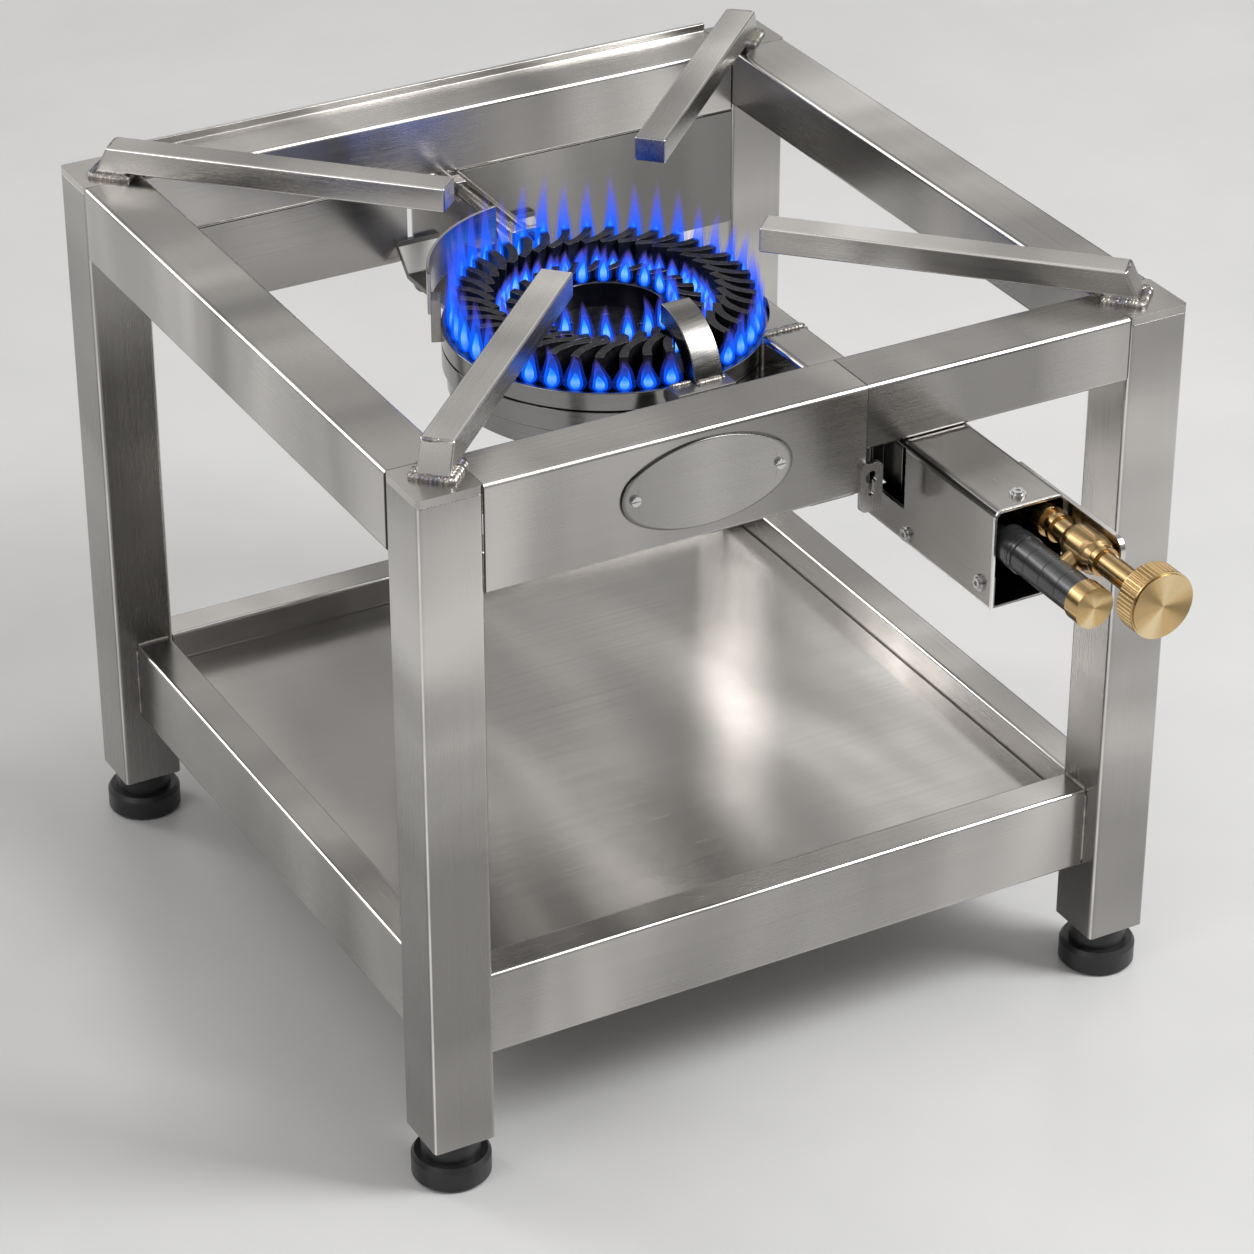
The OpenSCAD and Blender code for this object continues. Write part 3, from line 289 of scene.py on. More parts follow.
def painted_fan(centre, phase):
    """A painted highlight: a fan of painted light and dark sectors on the end face of a turned piece, fixed
    to the piece.
    """
    # colours of the painted highlight and the painted shade in the fan
    light = (0.80, 0.66, 0.42, 1)
    dark = shade((0.58, 0.41, 0.19), 0.49)

    def marks_and_sheen(m, col):
        turn = axis_coords(m, centre, "Y")[0]
        face = m.span(m.math("ABSOLUTE", m.facing()[1]), 0.90, 0.97)
        broad = m.math("SINE", m.plus(m.times(turn, 2.0), phase))
        narrow = m.math("SINE", m.plus(m.times(turn, 5.0), phase * 3.0))
        wave = m.plus(m.times(broad, 0.75), m.times(narrow, 0.25))
        painted_sectors = m.mix(m.span(wave, 0.1, 0.9, 0.0, 0.75), col, light)
        painted_sectors = m.mix(m.span(wave, -0.1, -0.9, 0.0, 1.0), painted_sectors, dark)
        return m.mix(face, col, painted_sectors)
    return marks_and_sheen


def heat_tint(m, col):
    """Blue and violet to straw at the bar tips, by the distance from the burner's axis."""
    hottest = 0.094
    coolest = 0.20
    fade_from = 0.096
    fade_to = 0.165
    wobble = m.times(m.minus(m.noise(m.coords(), 60.0, 2.0), 0.5), 0.03)
    r = m.plus(axis_coords(m, CENTRE, "Z")[1], wobble)
    shades = m.ramp(m.span(r, hottest, coolest), [
        (0.0, (0.20, 0.24, 0.40)), (0.08, (0.33, 0.32, 0.38)), (0.22, (0.45, 0.40, 0.36)),
        (0.5, (0.53, 0.50, 0.47)), (1.0, (0.53, 0.51, 0.49))])
    return m.mix(m.span(r, fade_from, fade_to, 0.18, 0.0), col, shades)


def burner_zones(m, col):
    """Dark heat-stained deck and well, and a black line between the upper bands."""
    deck_edge = 0.0968       # inner side of the polished rim
    well_floor = 0.38
    line_height = 0.395
    line_half = 0.0007
    line_from = 0.0955
    radius, place = axis_coords(m, CENTRE, "Z")[1:]
    deck = m.times(m.under(radius, deck_edge), m.over(place, well_floor))
    stain = m.noise(m.coords(), 55.0, 3.0, 0.6)
    dark = m.mix(m.span(stain, 0.35, 0.7), (0.06, 0.06, 0.068, 1), (0.12, 0.115, 0.12, 1))
    col = m.mix(deck, col, dark)
    line = m.times(m.under(m.apart(place, line_height), line_half), m.over(radius, line_from))
    return m.mix(line, col, (0.02, 0.02, 0.02, 1))


def cast_black(name):
    """Black enamelled casting: sandy bump, faint worn speckles on the fin tops and a painted highlight along
    their up-facing edges.
    """
    m = Mat(name)
    p = m.coords()
    sand = m.noise(p, 900.0, 3.0, 0.6)
    lump = m.noise(p, 160.0, 2.0, 0.5)
    up = m.facing()[2]
    # faint worn speckles on the fin tops
    wear_and_glint = m.times(m.span(up, 0.55, 0.95), m.span(m.noise(p, 420.0, 3.0, 0.65), 0.55, 0.75, 0.0, 0.05))
    # painted highlight: the up-facing edges of the fins made lighter, broken up by noise
    edge = m.times(m.span(up, 0.25, 0.6), m.span(up, 0.90, 0.74))
    edge = m.times(edge, m.span(m.noise(p, 300.0, 3.0, 0.6), 0.40, 0.60, 0.25, 1.0))
    wear_and_glint = m.math("MAXIMUM", wear_and_glint, edge, clamp=True)
    col = m.mix(m.span(lump, 0.35, 0.7), (0.006, 0.006, 0.007, 1), (0.018, 0.018, 0.021, 1))
    col = m.mix(wear_and_glint, col, (0.66, 0.66, 0.70, 1))
    rough = m.plus(m.span(sand, 0.3, 0.7, 0.24, 0.38), m.times(wear_and_glint, -0.04))
    normal = m.bump(lump, 0.20, 0.0006, m.bump(sand, 0.22, 0.0003))
    m.surface(Base_Color=col, Metallic=0.1, Roughness=rough, Normal=normal, Specular_IOR_Level=0.16)
    return m.made


def moulded(name, colour, rough):
    """Black moulded plastic or rubber with a fine matt grain."""
    m = Mat(name)
    p = m.coords()
    grain = m.noise(p, 700.0, 2.0, 0.5)
    cloud = m.noise(p, 45.0, 3.0, 0.6)
    col = m.mix(m.span(cloud, 0.35, 0.7), shade(colour, 1.0), shade(colour, 1.7, 0.004))
    r = m.plus(m.span(grain, 0.3, 0.7, rough - 0.06, rough + 0.08), m.span(cloud, 0.4, 0.7, 0.0, 0.06))
    m.surface(Base_Color=col, Roughness=r, Normal=m.bump(grain, 0.25, 0.0003))
    return m.made


def weld_metal(name):
    """Weld bead, tinted straw to blue by the heat."""
    m = Mat(name)
    p = m.coords()
    grit = m.noise(p, 320.0, 3.0, 0.6)
    cloud = m.noise(p, 70.0, 2.0, 0.5)
    col = m.ramp(m.span(cloud, 0.3, 0.7), [
        (0.0, (0.36, 0.34, 0.32)), (0.45, (0.50, 0.47, 0.43)),
        (0.7, (0.30, 0.27, 0.27)), (1.0, (0.24, 0.25, 0.31))])
    m.surface(Base_Color=col, Metallic=1.0, Roughness=m.span(grit, 0.3, 0.7, 0.24, 0.46),
              Normal=m.bump(grit, 0.5, 0.0005))
    return m.made


# Masks: each changes a brushed steel's colour and roughness at set places on the piece
def painted_shade_inside(lo, hi):
    """Painted shade: the unlit inside of a sheet housing made near black, given as a box in metres."""
    # near-black colour of the painted shade
    inner_shade = (0.035, 0.035, 0.0357, 1)

    def mask(m, col, r):
        inside = 1.0
        for value, low, high in zip(m.split(m.coords()), lo, hi):
            inside = m.times(inside, m.times(m.over(value, low), m.under(value, high)))
        return m.mix(inside, col, inner_shade), m.plus(r, m.times(inside, 0.22))
    return mask


PLATE_X = -0.072             # middle of the oval plate
PLATE_Z = TOP - 0.033
PLATE_WIDE = 0.054           # its half sizes
PLATE_TALL = 0.027
SHADOW = (0.10, 0.10, 0.10, 1)


def plate_distance(m):
    """Distance from the oval plate's middle, 1 at its edge."""
    x, _, z = m.split(m.coords())
    across = m.math("DIVIDE", m.minus(x, PLATE_X), PLATE_WIDE)
    up = m.math("DIVIDE", m.minus(z, PLATE_Z), PLATE_TALL)
    return m.length(across, up)


def plate_rim_shade(m, col, r):
    """Painted shade: the rim of the oval plate made darker."""
    return m.mix(m.span(plate_distance(m), 0.955, 0.985, 0.0, 0.6), col, SHADOW), r


def plate_shadow(m, col, r):
    """The thin dark line on the apron round the oval plate."""
    far = plate_distance(m)
    line = m.times(m.span(far, 0.98, 1.0, 0.0, 0.8), m.span(far, 1.016, 1.03, 1.0, 0.0))
    return m.mix(line, col, SHADOW), r


def joint_line(axis, places, wide=0.00045):
    """Thin dark lines where a rail meets its neighbour, given by their places along one axis."""
    def mask(m, col, r):
        value = m.split(m.coords())["XYZ".index(axis)]
        line = 0.0
        for at in places:
            line = m.math("MAXIMUM", line, m.span(m.apart(value, at), wide, wide * 1.7, 0.8, 0.0))
        return m.mix(line, col, (0.045, 0.043, 0.042, 1)), m.plus(r, m.times(line, 0.3))
    return mask


def section(name, *axes):
    """A node's low and high side along each axis; X and Y count outwards from the frame's middle."""
    plan = []
    for axis in axes:
        k = "XYZ".index(axis)
        ends = sorted(abs(corner[k] - CENTRE[k]) for corner in sides(name))
        plan.append((axis, *ends))
    return plan


def painted_edge_glint(plan, wide=0.0012, spin=0.0):
    """Painted highlights along a tube's edges, broken up by noise: plan is its section, as from section().
    """
    def mask(m, col, r):
        centred = m.moved(m.coords(), loc=(0, -MID_Y, 0))
        values = m.split(m.moved(centred, rot=(0, 0, spin)))
        edge = 1.0
        for axis, low, high in plan:
            value = values["XYZ".index(axis)]
            if axis != "Z":
                value = m.math("ABSOLUTE", value)
            deep = m.minus((high - low) / 2, m.apart(value, (low + high) / 2))
            edge = m.times(edge, m.span(deep, wide * 0.75, wide * 1.25, 1.0, 0.0))
        # painted highlight on the edges, made uneven by noise
        glint_breakup = m.span(m.noise(m.coords(), 26.0, 2.0, 0.5), 0.3, 0.6, 0.55, 1.0)
        col = m.mix(m.times(edge, glint_breakup), col, (0.88, 0.865, 0.84, 1))
        return col, m.minus(r, m.times(edge, 0.05))
    return mask


def painted_rim_glint(at, wide):
    """A painted highlight along the cut edge at the open front end of a folded sheet."""
    def mask(m, col, r):
        rim = m.span(m.apart(m.split(m.coords())[1], at), wide, wide * 1.5, 0.9, 0.0)
        return m.mix(rim, col, (0.86, 0.845, 0.82, 1)), r
    return mask


def all_of(*masks):
    """Several masks, one after the other."""
    def mask(m, col, r):
        for one in masks:
            col, r = one(m, col, r)
        return col, r
    return mask


# Colours and shared places of the materials
STEEL = (0.41, 0.398, 0.382)
BAR_STEEL = (0.55, 0.535, 0.515)
SHEET = (0.46, 0.447, 0.43)
PANEL = (0.28, 0.272, 0.262)
BRASS = (0.58, 0.41, 0.20)
ALONG_X = (1, 0, 0)
ALONG_Y = (0, 1, 0)
ALONG_Z = (0, 0, 1)
X_JOINTS = (-CORNER, CORNER)
Y_JOINTS = (MID_Y - CORNER, MID_Y + CORNER)

# Legs and rails
mat_leg = brushed("steel_leg", ALONG_Z, STEEL, 0.24, seed=2.3,
                  mask=painted_edge_glint(section("leg_front_left", "X", "Y"), 0.0013))
mat_cap = brushed("steel_x2", ALONG_X, STEEL, 0.23, seed=3.1)
mat_side = brushed("steel_side", ALONG_Y, STEEL, 0.23, seed=1.7,
                   mask=all_of(painted_edge_glint(section("left_rail", "X", "Z")), joint_line("Y", Y_JOINTS)))
mat_apron = brushed("steel_apron", ALONG_X, STEEL, 0.23,
                    mask=all_of(painted_edge_glint(section("front_apron", "Y", "Z")), plate_shadow,
                                joint_line("X", (-CORNER, SEAM), 0.00035)))
mat_rail = brushed("steel_rail", ALONG_X, STEEL, 0.23, seed=3.1,
                   mask=all_of(painted_edge_glint(section("front_rail", "Y", "Z")),
                               joint_line("X", (SEAM, CORNER))))
back_low = sides("back_rail")[0][2]
back_section = section("back_rail", "Y") + [("Z", back_low, TOP)]    # without the lip on top
mat_rear = brushed("steel_rear", ALONG_X, STEEL, 0.23, seed=5.6,
                   mask=all_of(painted_edge_glint(back_section), joint_line("X", X_JOINTS)))
mat_panel = brushed("steel_panel", ALONG_X, PANEL, 0.18, seed=5.2)

# Shelf
mat_shelf_x = brushed("steel_shelf_rim", ALONG_X, STEEL, 0.23, seed=7.3,
                      mask=all_of(painted_edge_glint(section("shelf_rail_front", "Y", "Z")),
                                  joint_line("X", X_JOINTS)))
mat_shelf_y = brushed("steel_shelf_side", ALONG_Y, STEEL, 0.23, seed=8.8,
                      mask=all_of(painted_edge_glint(section("shelf_rail_left", "X", "Z")),
                                  joint_line("Y", Y_JOINTS)))
mat_shelf = brushed("steel_shelf", ALONG_X, (0.40, 0.388, 0.375), 0.20, seed=6.9, fine=1300.0)

# Pan bars: each mask turns with its bar's diagonal
BAR_HALF = 0.010             # half width of a bar
BAR_TALL = 0.016
bar_top = sides("pan_bar_front_left")[1][2]
bar_section = [("Y", -BAR_HALF, BAR_HALF), ("Z", bar_top - BAR_TALL, bar_top)]


def bar_steel(name, turn, seed):
    return brushed(name, ALONG_X, BAR_STEEL, 0.25, turn=turn, seed=seed, tint=heat_tint,
                   mask=painted_edge_glint(bar_section, 0.0013, turn))


mat_bar_a = bar_steel("steel_bar_a", -math.pi / 4, 7.7)
mat_bar_b = bar_steel("steel_bar_b", math.pi / 4, 8.2)

# Valve housing and front fittings
HOOD_SKIN = 0.0007           # the painted shade starts this deep in the cover's walls, roof and mouth
HOOD_ROOF = 0.0011
HOOD_MOUTH = 0.0012
HOOD_RIM = 0.0007            # middle of the painted highlight on the edge, behind the cover's front
SHADE_LOW = 0.30              # heights that clear the cover and the tray
SHADE_HIGH = 0.43
hood_lo, hood_hi = sides("valve_cover")
# painted shade inside the cover and the tray
hood_shade = painted_shade_inside((hood_lo[0] + HOOD_SKIN, hood_lo[1] + HOOD_MOUTH, SHADE_LOW),
                        (hood_hi[0] - HOOD_SKIN, MID_Y, hood_hi[2] - HOOD_ROOF))
mat_hood = brushed("steel_hood", ALONG_Y, SHEET, 0.22, seed=9.6,
                   mask=all_of(painted_edge_glint(section("valve_cover", "X", "Z"), 0.0011),
                               painted_rim_glint(hood_lo[1] + HOOD_RIM, 0.0008), hood_shade))
TRAY_SKIN = 0.001            # the same for the tray
TRAY_FLOOR = 0.0014
tray_lo, tray_hi = sides("valve_tray")
tray_shade = painted_shade_inside((tray_lo[0] + TRAY_SKIN, tray_lo[1] + TRAY_SKIN, tray_lo[2] + TRAY_FLOOR),
                        (tray_hi[0] - TRAY_SKIN, MID_Y, SHADE_HIGH))
mat_tray = brushed("steel_tray", ALONG_Y, (0.30, 0.29, 0.28), 0.30, seed=2.9, mask=tray_shade)
mat_guard = brushed("steel_guard", ALONG_Y, (0.42, 0.41, 0.40), 0.18, seed=5.9)
mat_bracket = brushed("steel_z", ALONG_Z, STEEL, 0.24, seed=2.3)
mat_plate = brushed("steel_plate", ALONG_X, (0.47, 0.458, 0.443), 0.24, seed=1.1, fine=1700.0,
                    mask=plate_rim_shade)
mat_screw = turned("screw_steel", (0, 0, 0), "X", (0.60, 0.60, 0.60), 0.18, 300.0)

# Burner and gas line
mat_iron = cast_black("black_iron")
mat_base = turned("burner_body", CENTRE, "Z", (0.27, 0.265, 0.26), 0.17, 1300.0, marks_and_sheen=burner_zones)
mat_wind = turned("wind_steel", CENTRE, "Z", (0.40, 0.385, 0.37), 0.20, 1100.0)
mat_clamp = turned("clamp_steel", CENTRE, "Z", (0.23, 0.223, 0.215), 0.26, 900.0, cone=0.3)
# a darker copy of the steel: painted shade for the straps under the burner
mat_strap_shaded = brushed("steel_strap_shaded", ALONG_Y, (0.20, 0.195, 0.19), 0.40, seed=6.1)
mat_pilot = turned("pilot_steel", (0, MID_Y, middle("pilot_tube")[2]), "Y", (0.40, 0.38, 0.36), 0.24, 1200.0)
mat_channel = brushed("steel_cover", ALONG_Y, SHEET, 0.22, seed=9.6)
mat_mixing = brushed("steel_y2", ALONG_Y, STEEL, 0.24, seed=4.4)
mat_weld = weld_metal("weld")

# Brass and the parts one takes hold of
knob_axis = (middle("knob")[0], 0, middle("knob")[2])
button_axis = (middle("button")[0], 0, middle("button")[2])
inlet_axis = (*middle("gas_inlet")[:2], 0)
# the knob's and button's end faces carry a painted fan of highlight and shade
mat_knob = turned("knob_brass", knob_axis, "Y", BRASS, 0.22, 2600.0, marks_and_sheen=painted_fan(knob_axis, 0.6))
mat_valve = turned("valve_brass", knob_axis, "Y", (0.52, 0.355, 0.17), 0.17, 1500.0)
mat_button = turned("button_brass", button_axis, "Y", (0.58, 0.41, 0.19), 0.20, 2600.0,
                    marks_and_sheen=painted_fan(button_axis, 0.9))
mat_inlet = turned("inlet_brass", inlet_axis, "Z", (0.54, 0.39, 0.20), 0.22, 1200.0)
mat_barrel = turned("barrel_grey", button_axis, "Y", (0.115, 0.117, 0.122), 0.24, 1800.0,
                    metallic=0.8, depth=0.00003)

# Feet
mat_foot = moulded("foot_black", (0.010, 0.010, 0.011), 0.34)
mat_insert = moulded("insert_black", (0.014, 0.014, 0.015), 0.5)

# Material and width of the rounded edges, in metres, of every CAD node
looks = {
    "left_rail": (mat_side, 0.0003),
    "right_rail": (mat_side, 0.0003),
    "back_rail": (mat_rear, 0.0004),
    "front_apron": (mat_apron, 0.0003),
    "front_rail": (mat_rail, 0.0004),
    "back_panel": (mat_panel, 0.0003),
    "rear_shield": (mat_panel, 0.0003),
    "shelf_rail_front": (mat_shelf_x, 0.0003),
    "shelf_rail_back": (mat_shelf_x, 0.0003),
    "shelf_rail_left": (mat_shelf_y, 0.0003),
    "shelf_rail_right": (mat_shelf_y, 0.0003),
    "shelf_floor": (mat_shelf, 0.0),
    "bar_welds": (mat_weld, 0.0),
    "burner_strap_left": (mat_strap_shaded, 0.0006),
    "burner_strap_right": (mat_strap_shaded, 0.0006),
    "burner_base": (mat_base, 0.0006),
    "outer_crown": (mat_iron, 0.0010),
    "inner_crown": (mat_iron, 0.0009),
    "rosette": (mat_iron, 0.0003),
    "burner_clamp": (mat_clamp, 0.0012),
    "clamp_block": (mat_strap_shaded, 0.0010),
    "wind_shield": (mat_wind, 0.0003),
    "pilot_tube": (mat_pilot, 0.0003),
    "pilot_nut": (mat_pilot, 0.0005),
    "pilot_clip": (mat_cap, 0.0006),
    "burner_neck": (mat_channel, 0.0003),
    "gas_channel": (mat_channel, 0.0003),
    "mixing_tube": (mat_mixing, 0.0003),
    "injector": (mat_valve, 0.0006),
    "valve_cover": (mat_hood, 0.0004),
    "valve_tray": (mat_tray, 0.0003),
    "cover_screws": (mat_screw, 0.0005),
    "valve_guard": (mat_guard, 0.0005),
    "keyhole_bracket": (mat_bracket, 0.0005),
    "name_plate": (mat_plate, 0.0004),
    "plate_screws": (mat_screw, 0.0004),
    "gas_inlet": (mat_inlet, 0.0005),
    "supply_pipe": (mat_valve, 0.0008),
    "valve_body": (mat_valve, 0.0007),
    "spindle": (mat_valve, 0.0003),
    "knob": (mat_knob, 0.0005),
    "barrel": (mat_barrel, 0.0005),
    "button": (mat_button, 0.0009),
}
for front, left_bar, right_bar in (("front", mat_bar_a, mat_bar_b), ("back", mat_bar_b, mat_bar_a)):
    looks[f"pan_bar_{front}_left"] = (left_bar, 0.0013)
    looks[f"pan_bar_{front}_right"] = (right_bar, 0.0013)
for start, look in (("leg_insert", (mat_insert, 0.0)), ("leg_", (mat_leg, 0.0006)),
                    ("corner_cap", (mat_cap, 0.0011)), ("foot_", (mat_foot, 0.0012))):
    for name in nodes:
        if name.startswith(start):
            looks.setdefault(name, look)


def dress(obj, material, width):
    """Material, joined corners and a small rounded edge on a CAD node."""
    obj.data.materials.clear()
    obj.data.materials.append(material)
    for p in obj.data.polygons:
        p.use_smooth = True
    weld = obj.modifiers.new("join", "WELD")
    weld.merge_threshold = 0.000004
    if width:
        bevel = obj.modifiers.new("edge", "BEVEL")
        bevel.width = width
        bevel.segments = 2
        bevel.limit_method = "ANGLE"
        bevel.angle_limit = math.radians(32.0)
        bevel.use_clamp_overlap = True
        bevel.miter_outer = "MITER_ARC"
        bevel.harden_normals = False
    normals = obj.modifiers.new("normals", "WEIGHTED_NORMAL")
    normals.keep_sharp = False
    normals.weight = 60


for name, obj in nodes.items():
    material, width = looks[name]
    dress(obj, material, width)


# Mesh helpers
def piece(name, verts, faces, material, slot, along=None):
    """A mesh that rides on the frame; along is a value at each vertex for its material."""
    me = bpy.data.meshes.new(name)
    me.from_pydata([tuple(v) for v in verts], [], faces)
    me.update()
    for p in me.polygons:
        p.use_smooth = True
    if along is not None:
        layer = me.attributes.new("along", "FLOAT", "POINT")
        layer.data.foreach_set("value", along)
    me.materials.append(material)
    o = bpy.data.objects.new(name, me)
    bpy.context.collection.objects.link(o)
    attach(o, "frame")
    return o


def join(parts):
    """Several (vertices, faces) pairs as one."""
    verts, faces = [], []
    for v, f in parts:
        n = len(verts)
        verts += v
        faces += [tuple(i + n for i in q) for q in f]
    return verts, faces


def local(x, y, z):
    """A point given from the frame's middle."""
    return Vector((x, y + MID_Y, z))


# Weld seams
TUBE_SIDES = 10


def bead(i, s, radius, pitch, lump):
    """Radius of ring i of a seam, s metres along it: one swell at each uneven step of the welder."""
    uneven = 0.35 * pitch * math.sin(s / pitch * 0.9) + 0.2 * pitch * math.sin(s / pitch * 2.3)
    phase = ((s + uneven) / pitch) % 1.0
    swell = lump * (math.sin(math.pi * phase) - 0.5)
    return radius * (1.0 + swell + 0.07 * math.sin(i * 1.7 + 3.0 * math.sin(i * 0.37)))


def tube_faces(rings, closed):
    """Faces between the rings of a tube, and its two ends where it isn't closed."""
    faces = []
    for i in range(rings if closed else rings - 1):
        for j in range(TUBE_SIDES):
            a = i * TUBE_SIDES + j
            b = i * TUBE_SIDES + (j + 1) % TUBE_SIDES
            e = ((i + 1) % rings) * TUBE_SIDES
            faces.append((a, b, e + (j + 1) % TUBE_SIDES, e + j))
    if not closed:
        faces.append(tuple(range(TUBE_SIDES))[::-1])
        faces.append(tuple(range((rings - 1) * TUBE_SIDES, rings * TUBE_SIDES)))
    return faces


def sweep(path, radius, pitch, lump, closed=False, up=(0, 0, 1), squash=1.0):
    """A weld seam: a tube along a path with the scalloped ripples that a welder leaves."""
    points = list(path)
    if closed:
        points.append(points[0])
    reach = [0.0]
    for a, b in zip(points, points[1:]):
        reach.append(reach[-1] + (b - a).length)
    total = reach[-1]
    steps = max(8, int(total / pitch * 5))
    rings = steps if closed else steps + 1
    verts = []
    for i in range(rings):
        s = total * i / steps
        k = max(j for j in range(len(reach) - 1) if reach[j] <= s + 1e-12)
        a, b = points[k], points[k + 1]
        centre = a.lerp(b, (s - reach[k]) / (reach[k + 1] - reach[k]))
        way = (b - a).normalized()
        side = way.cross(Vector(up)).normalized()
        top = side.cross(way).normalized()
        r = bead(i, s, radius, pitch, lump)
        if not closed:
            fade = min(1.0, s / (1.3 * radius), (total - s) / (1.3 * radius))
            r *= 0.25 + 0.75 * math.sqrt(max(0.0, fade))
        for j in range(TUBE_SIDES):
            q = 2 * math.pi * j / TUBE_SIDES
            lean = -0.5 * radius * (math.cos(q) ** 2)
            verts.append(centre + side * (r * math.cos(q)) + top * (r * squash * math.sin(q)) + way * lean)
    return verts, tube_faces(rings, closed)


# Seams round the feet of the pan bars, in place of the plain ones
BAR_FOOT_IN = 0.3055         # along the diagonal, from the frame's middle
BAR_FOOT_OUT = 0.3285
SEAM_HALF = 0.0115           # half width of the seam round a bar
BEND = 0.3172                # the bar's bend, with a short seam across its top
BEND_TOP = 0.4838            # the short seam's height and half length
BEND_HALF = 0.0086
parts = []
for turn in (45, 135, 225, 315):
    spin = Matrix.Rotation(math.radians(turn), 3, "Z")
    loop = []
    for x, y in ((BAR_FOOT_IN, -SEAM_HALF), (BAR_FOOT_OUT, -SEAM_HALF),
                 (BAR_FOOT_OUT, SEAM_HALF), (BAR_FOOT_IN, SEAM_HALF)):
        p = spin @ Vector((x, y, 0))
        loop.append(local(p.x, p.y, TOP + 0.0006))
    parts.append(sweep(loop, radius=0.0026, pitch=0.0024, lump=0.24, closed=True))
    across = []
    for k in range(7):
        p = spin @ Vector((BEND + 0.0004 * math.sin(k), -BEND_HALF + 2 * BEND_HALF * k / 6, 0))
        across.append(local(p.x, p.y, BEND_TOP))
    parts.append(sweep(across, radius=0.0013, pitch=0.0016, lump=0.25))
foot_welds = piece("foot_welds", *join(parts), mat_weld, "weld_steel")
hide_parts("bar_welds")

# Seams of the shelf rims against the legs: on top of each joint and upright in the corner
rim_x, rim_z = section("shelf_rail_left", "X", "Z")
rim_lo, rim_hi = rim_x[1:]
rim_foot, rim_top = rim_z[1:]
RIM_IN = rim_lo + 0.0015     # ends of the top seams across a rim
RIM_OUT = rim_hi - 0.0015
RIM_FACE = rim_hi + 0.0003
ON_TOP = rim_top + 0.0002
UPRIGHT = (rim_top - 0.004, rim_foot + 0.004)    # heights of the upright seams' ends
parts = []
for sx in (-1, 1):
    for sy in (-1, 1):
        at = CORNER - 0.0002
        for path in ([local(sx * at, sy * RIM_OUT, ON_TOP), local(sx * at, sy * RIM_IN, ON_TOP)],
                     [local(sx * RIM_OUT, sy * at, ON_TOP), local(sx * RIM_IN, sy * at, ON_TOP)]):
            parts.append(sweep(path, radius=0.0012, pitch=0.0017, lump=0.2))
        at = CORNER - 0.0004
        path = [local(sx * at, sy * RIM_FACE, z) for z in UPRIGHT]
        parts.append(sweep(path, radius=0.0008, pitch=0.0016, lump=0.2, up=(0, 1, 0)))
        path = [local(sx * RIM_FACE, sy * at, z) for z in UPRIGHT]
        parts.append(sweep(path, radius=0.0008, pitch=0.0016, lump=0.2, up=(1, 0, 0)))

# Gas channel to burner neck: over the top and down both sides
channel_lo, channel_hi = sides("gas_channel")
CHANNEL_END = -0.076         # from the frame's middle
across = (channel_lo[0] + 0.0008, channel_hi[0] - 0.0008)
path = [local(x, CHANNEL_END, channel_hi[2] + 0.0001) for x in across]
parts.append(sweep(path, radius=0.0028, pitch=0.0030, lump=0.35, squash=0.7))
for x, y in ((channel_hi[0] + 0.0002, CHANNEL_END), (channel_lo[0] - 0.0002, CHANNEL_END - 0.0005)):
    path = [local(x, y, z) for z in (channel_hi[2] - 0.002, channel_lo[2] + 0.003)]
    parts.append(sweep(path, radius=0.0018, pitch=0.0022, lump=0.25, up=(1, 0, 0), squash=0.6))

# Clamp block and arch on the burner's rim: radius of the seam and its two ends
for radius, start, end in ((0.0016, (-0.0115, -0.1002, 0.4082), (0.0035, -0.1008, 0.4082)),
                           (0.0018, (0.0045, -0.1050, 0.4083), (0.0225, -0.1050, 0.4083)),
                           (0.0014, (0.0232, -0.1045, 0.4082), (0.0232, -0.0935, 0.4079))):
    parts.append(sweep([local(*start), local(*end)], radius, pitch=0.0018, lump=0.25))
piece("seams", *join(parts), mat_weld, "weld_steel")


# Flames
def flame_material(name, power, stops, alpha):
    """Light given off by height in the flame, thinning out to nothing at the tip."""
    m = Mat(name)
    along = m.node("ShaderNodeAttribute", attribute_name="along").outputs["Fac"]
    emit = m.node("ShaderNodeEmission")
    m.put(m.ramp(along, stops), emit.inputs[0])
    m.put(power, emit.inputs[1])
    clear = m.node("ShaderNodeBsdfTransparent")
    mix = m.node("ShaderNodeMixShader")
    m.put(m.ramp(along, alpha), mix.inputs[0])
    m.put(clear.outputs[0], mix.inputs[1])
    m.put(emit.outputs[0], mix.inputs[2])
    m.put(mix.outputs[0], m.out.inputs[0])
    return m.made


mat_halo = flame_material(
    "flame_halo", 0.95,
    [(0.0, (0.01, 0.07, 1.0)), (0.4, (0.02, 0.08, 1.0)),
     (0.7, (0.10, 0.11, 0.95)), (1.0, (0.30, 0.20, 0.85))],
    [(0.0, 0.06), (0.15, 0.13), (0.5, 0.12), (0.8, 0.06), (1.0, 0.0)])
mat_outer = flame_material(
    "flame_outer", 1.3,
    [(0.0, (0.0, 0.08, 1.0)), (0.30, (0.0, 0.12, 1.0)), (0.55, (0.01, 0.12, 1.0)),
     (0.78, (0.05, 0.12, 1.0)), (1.0, (0.26, 0.17, 0.85))],
    [(0.0, 0.6), (0.12, 0.88), (0.35, 0.68), (0.6, 0.36), (0.8, 0.15), (1.0, 0.0)])
mat_core = flame_material(
    "flame_core", 2.2,
    [(0.0, (0.03, 0.36, 1.0)), (0.22, (0.30, 0.78, 1.0)), (0.42, (0.42, 0.88, 1.0)),
     (0.65, (0.06, 0.42, 1.0)), (1.0, (0.01, 0.15, 1.0))],
    [(0.0, 0.55), (0.2, 0.95), (0.6, 0.80), (0.85, 0.30), (1.0, 0.0)])

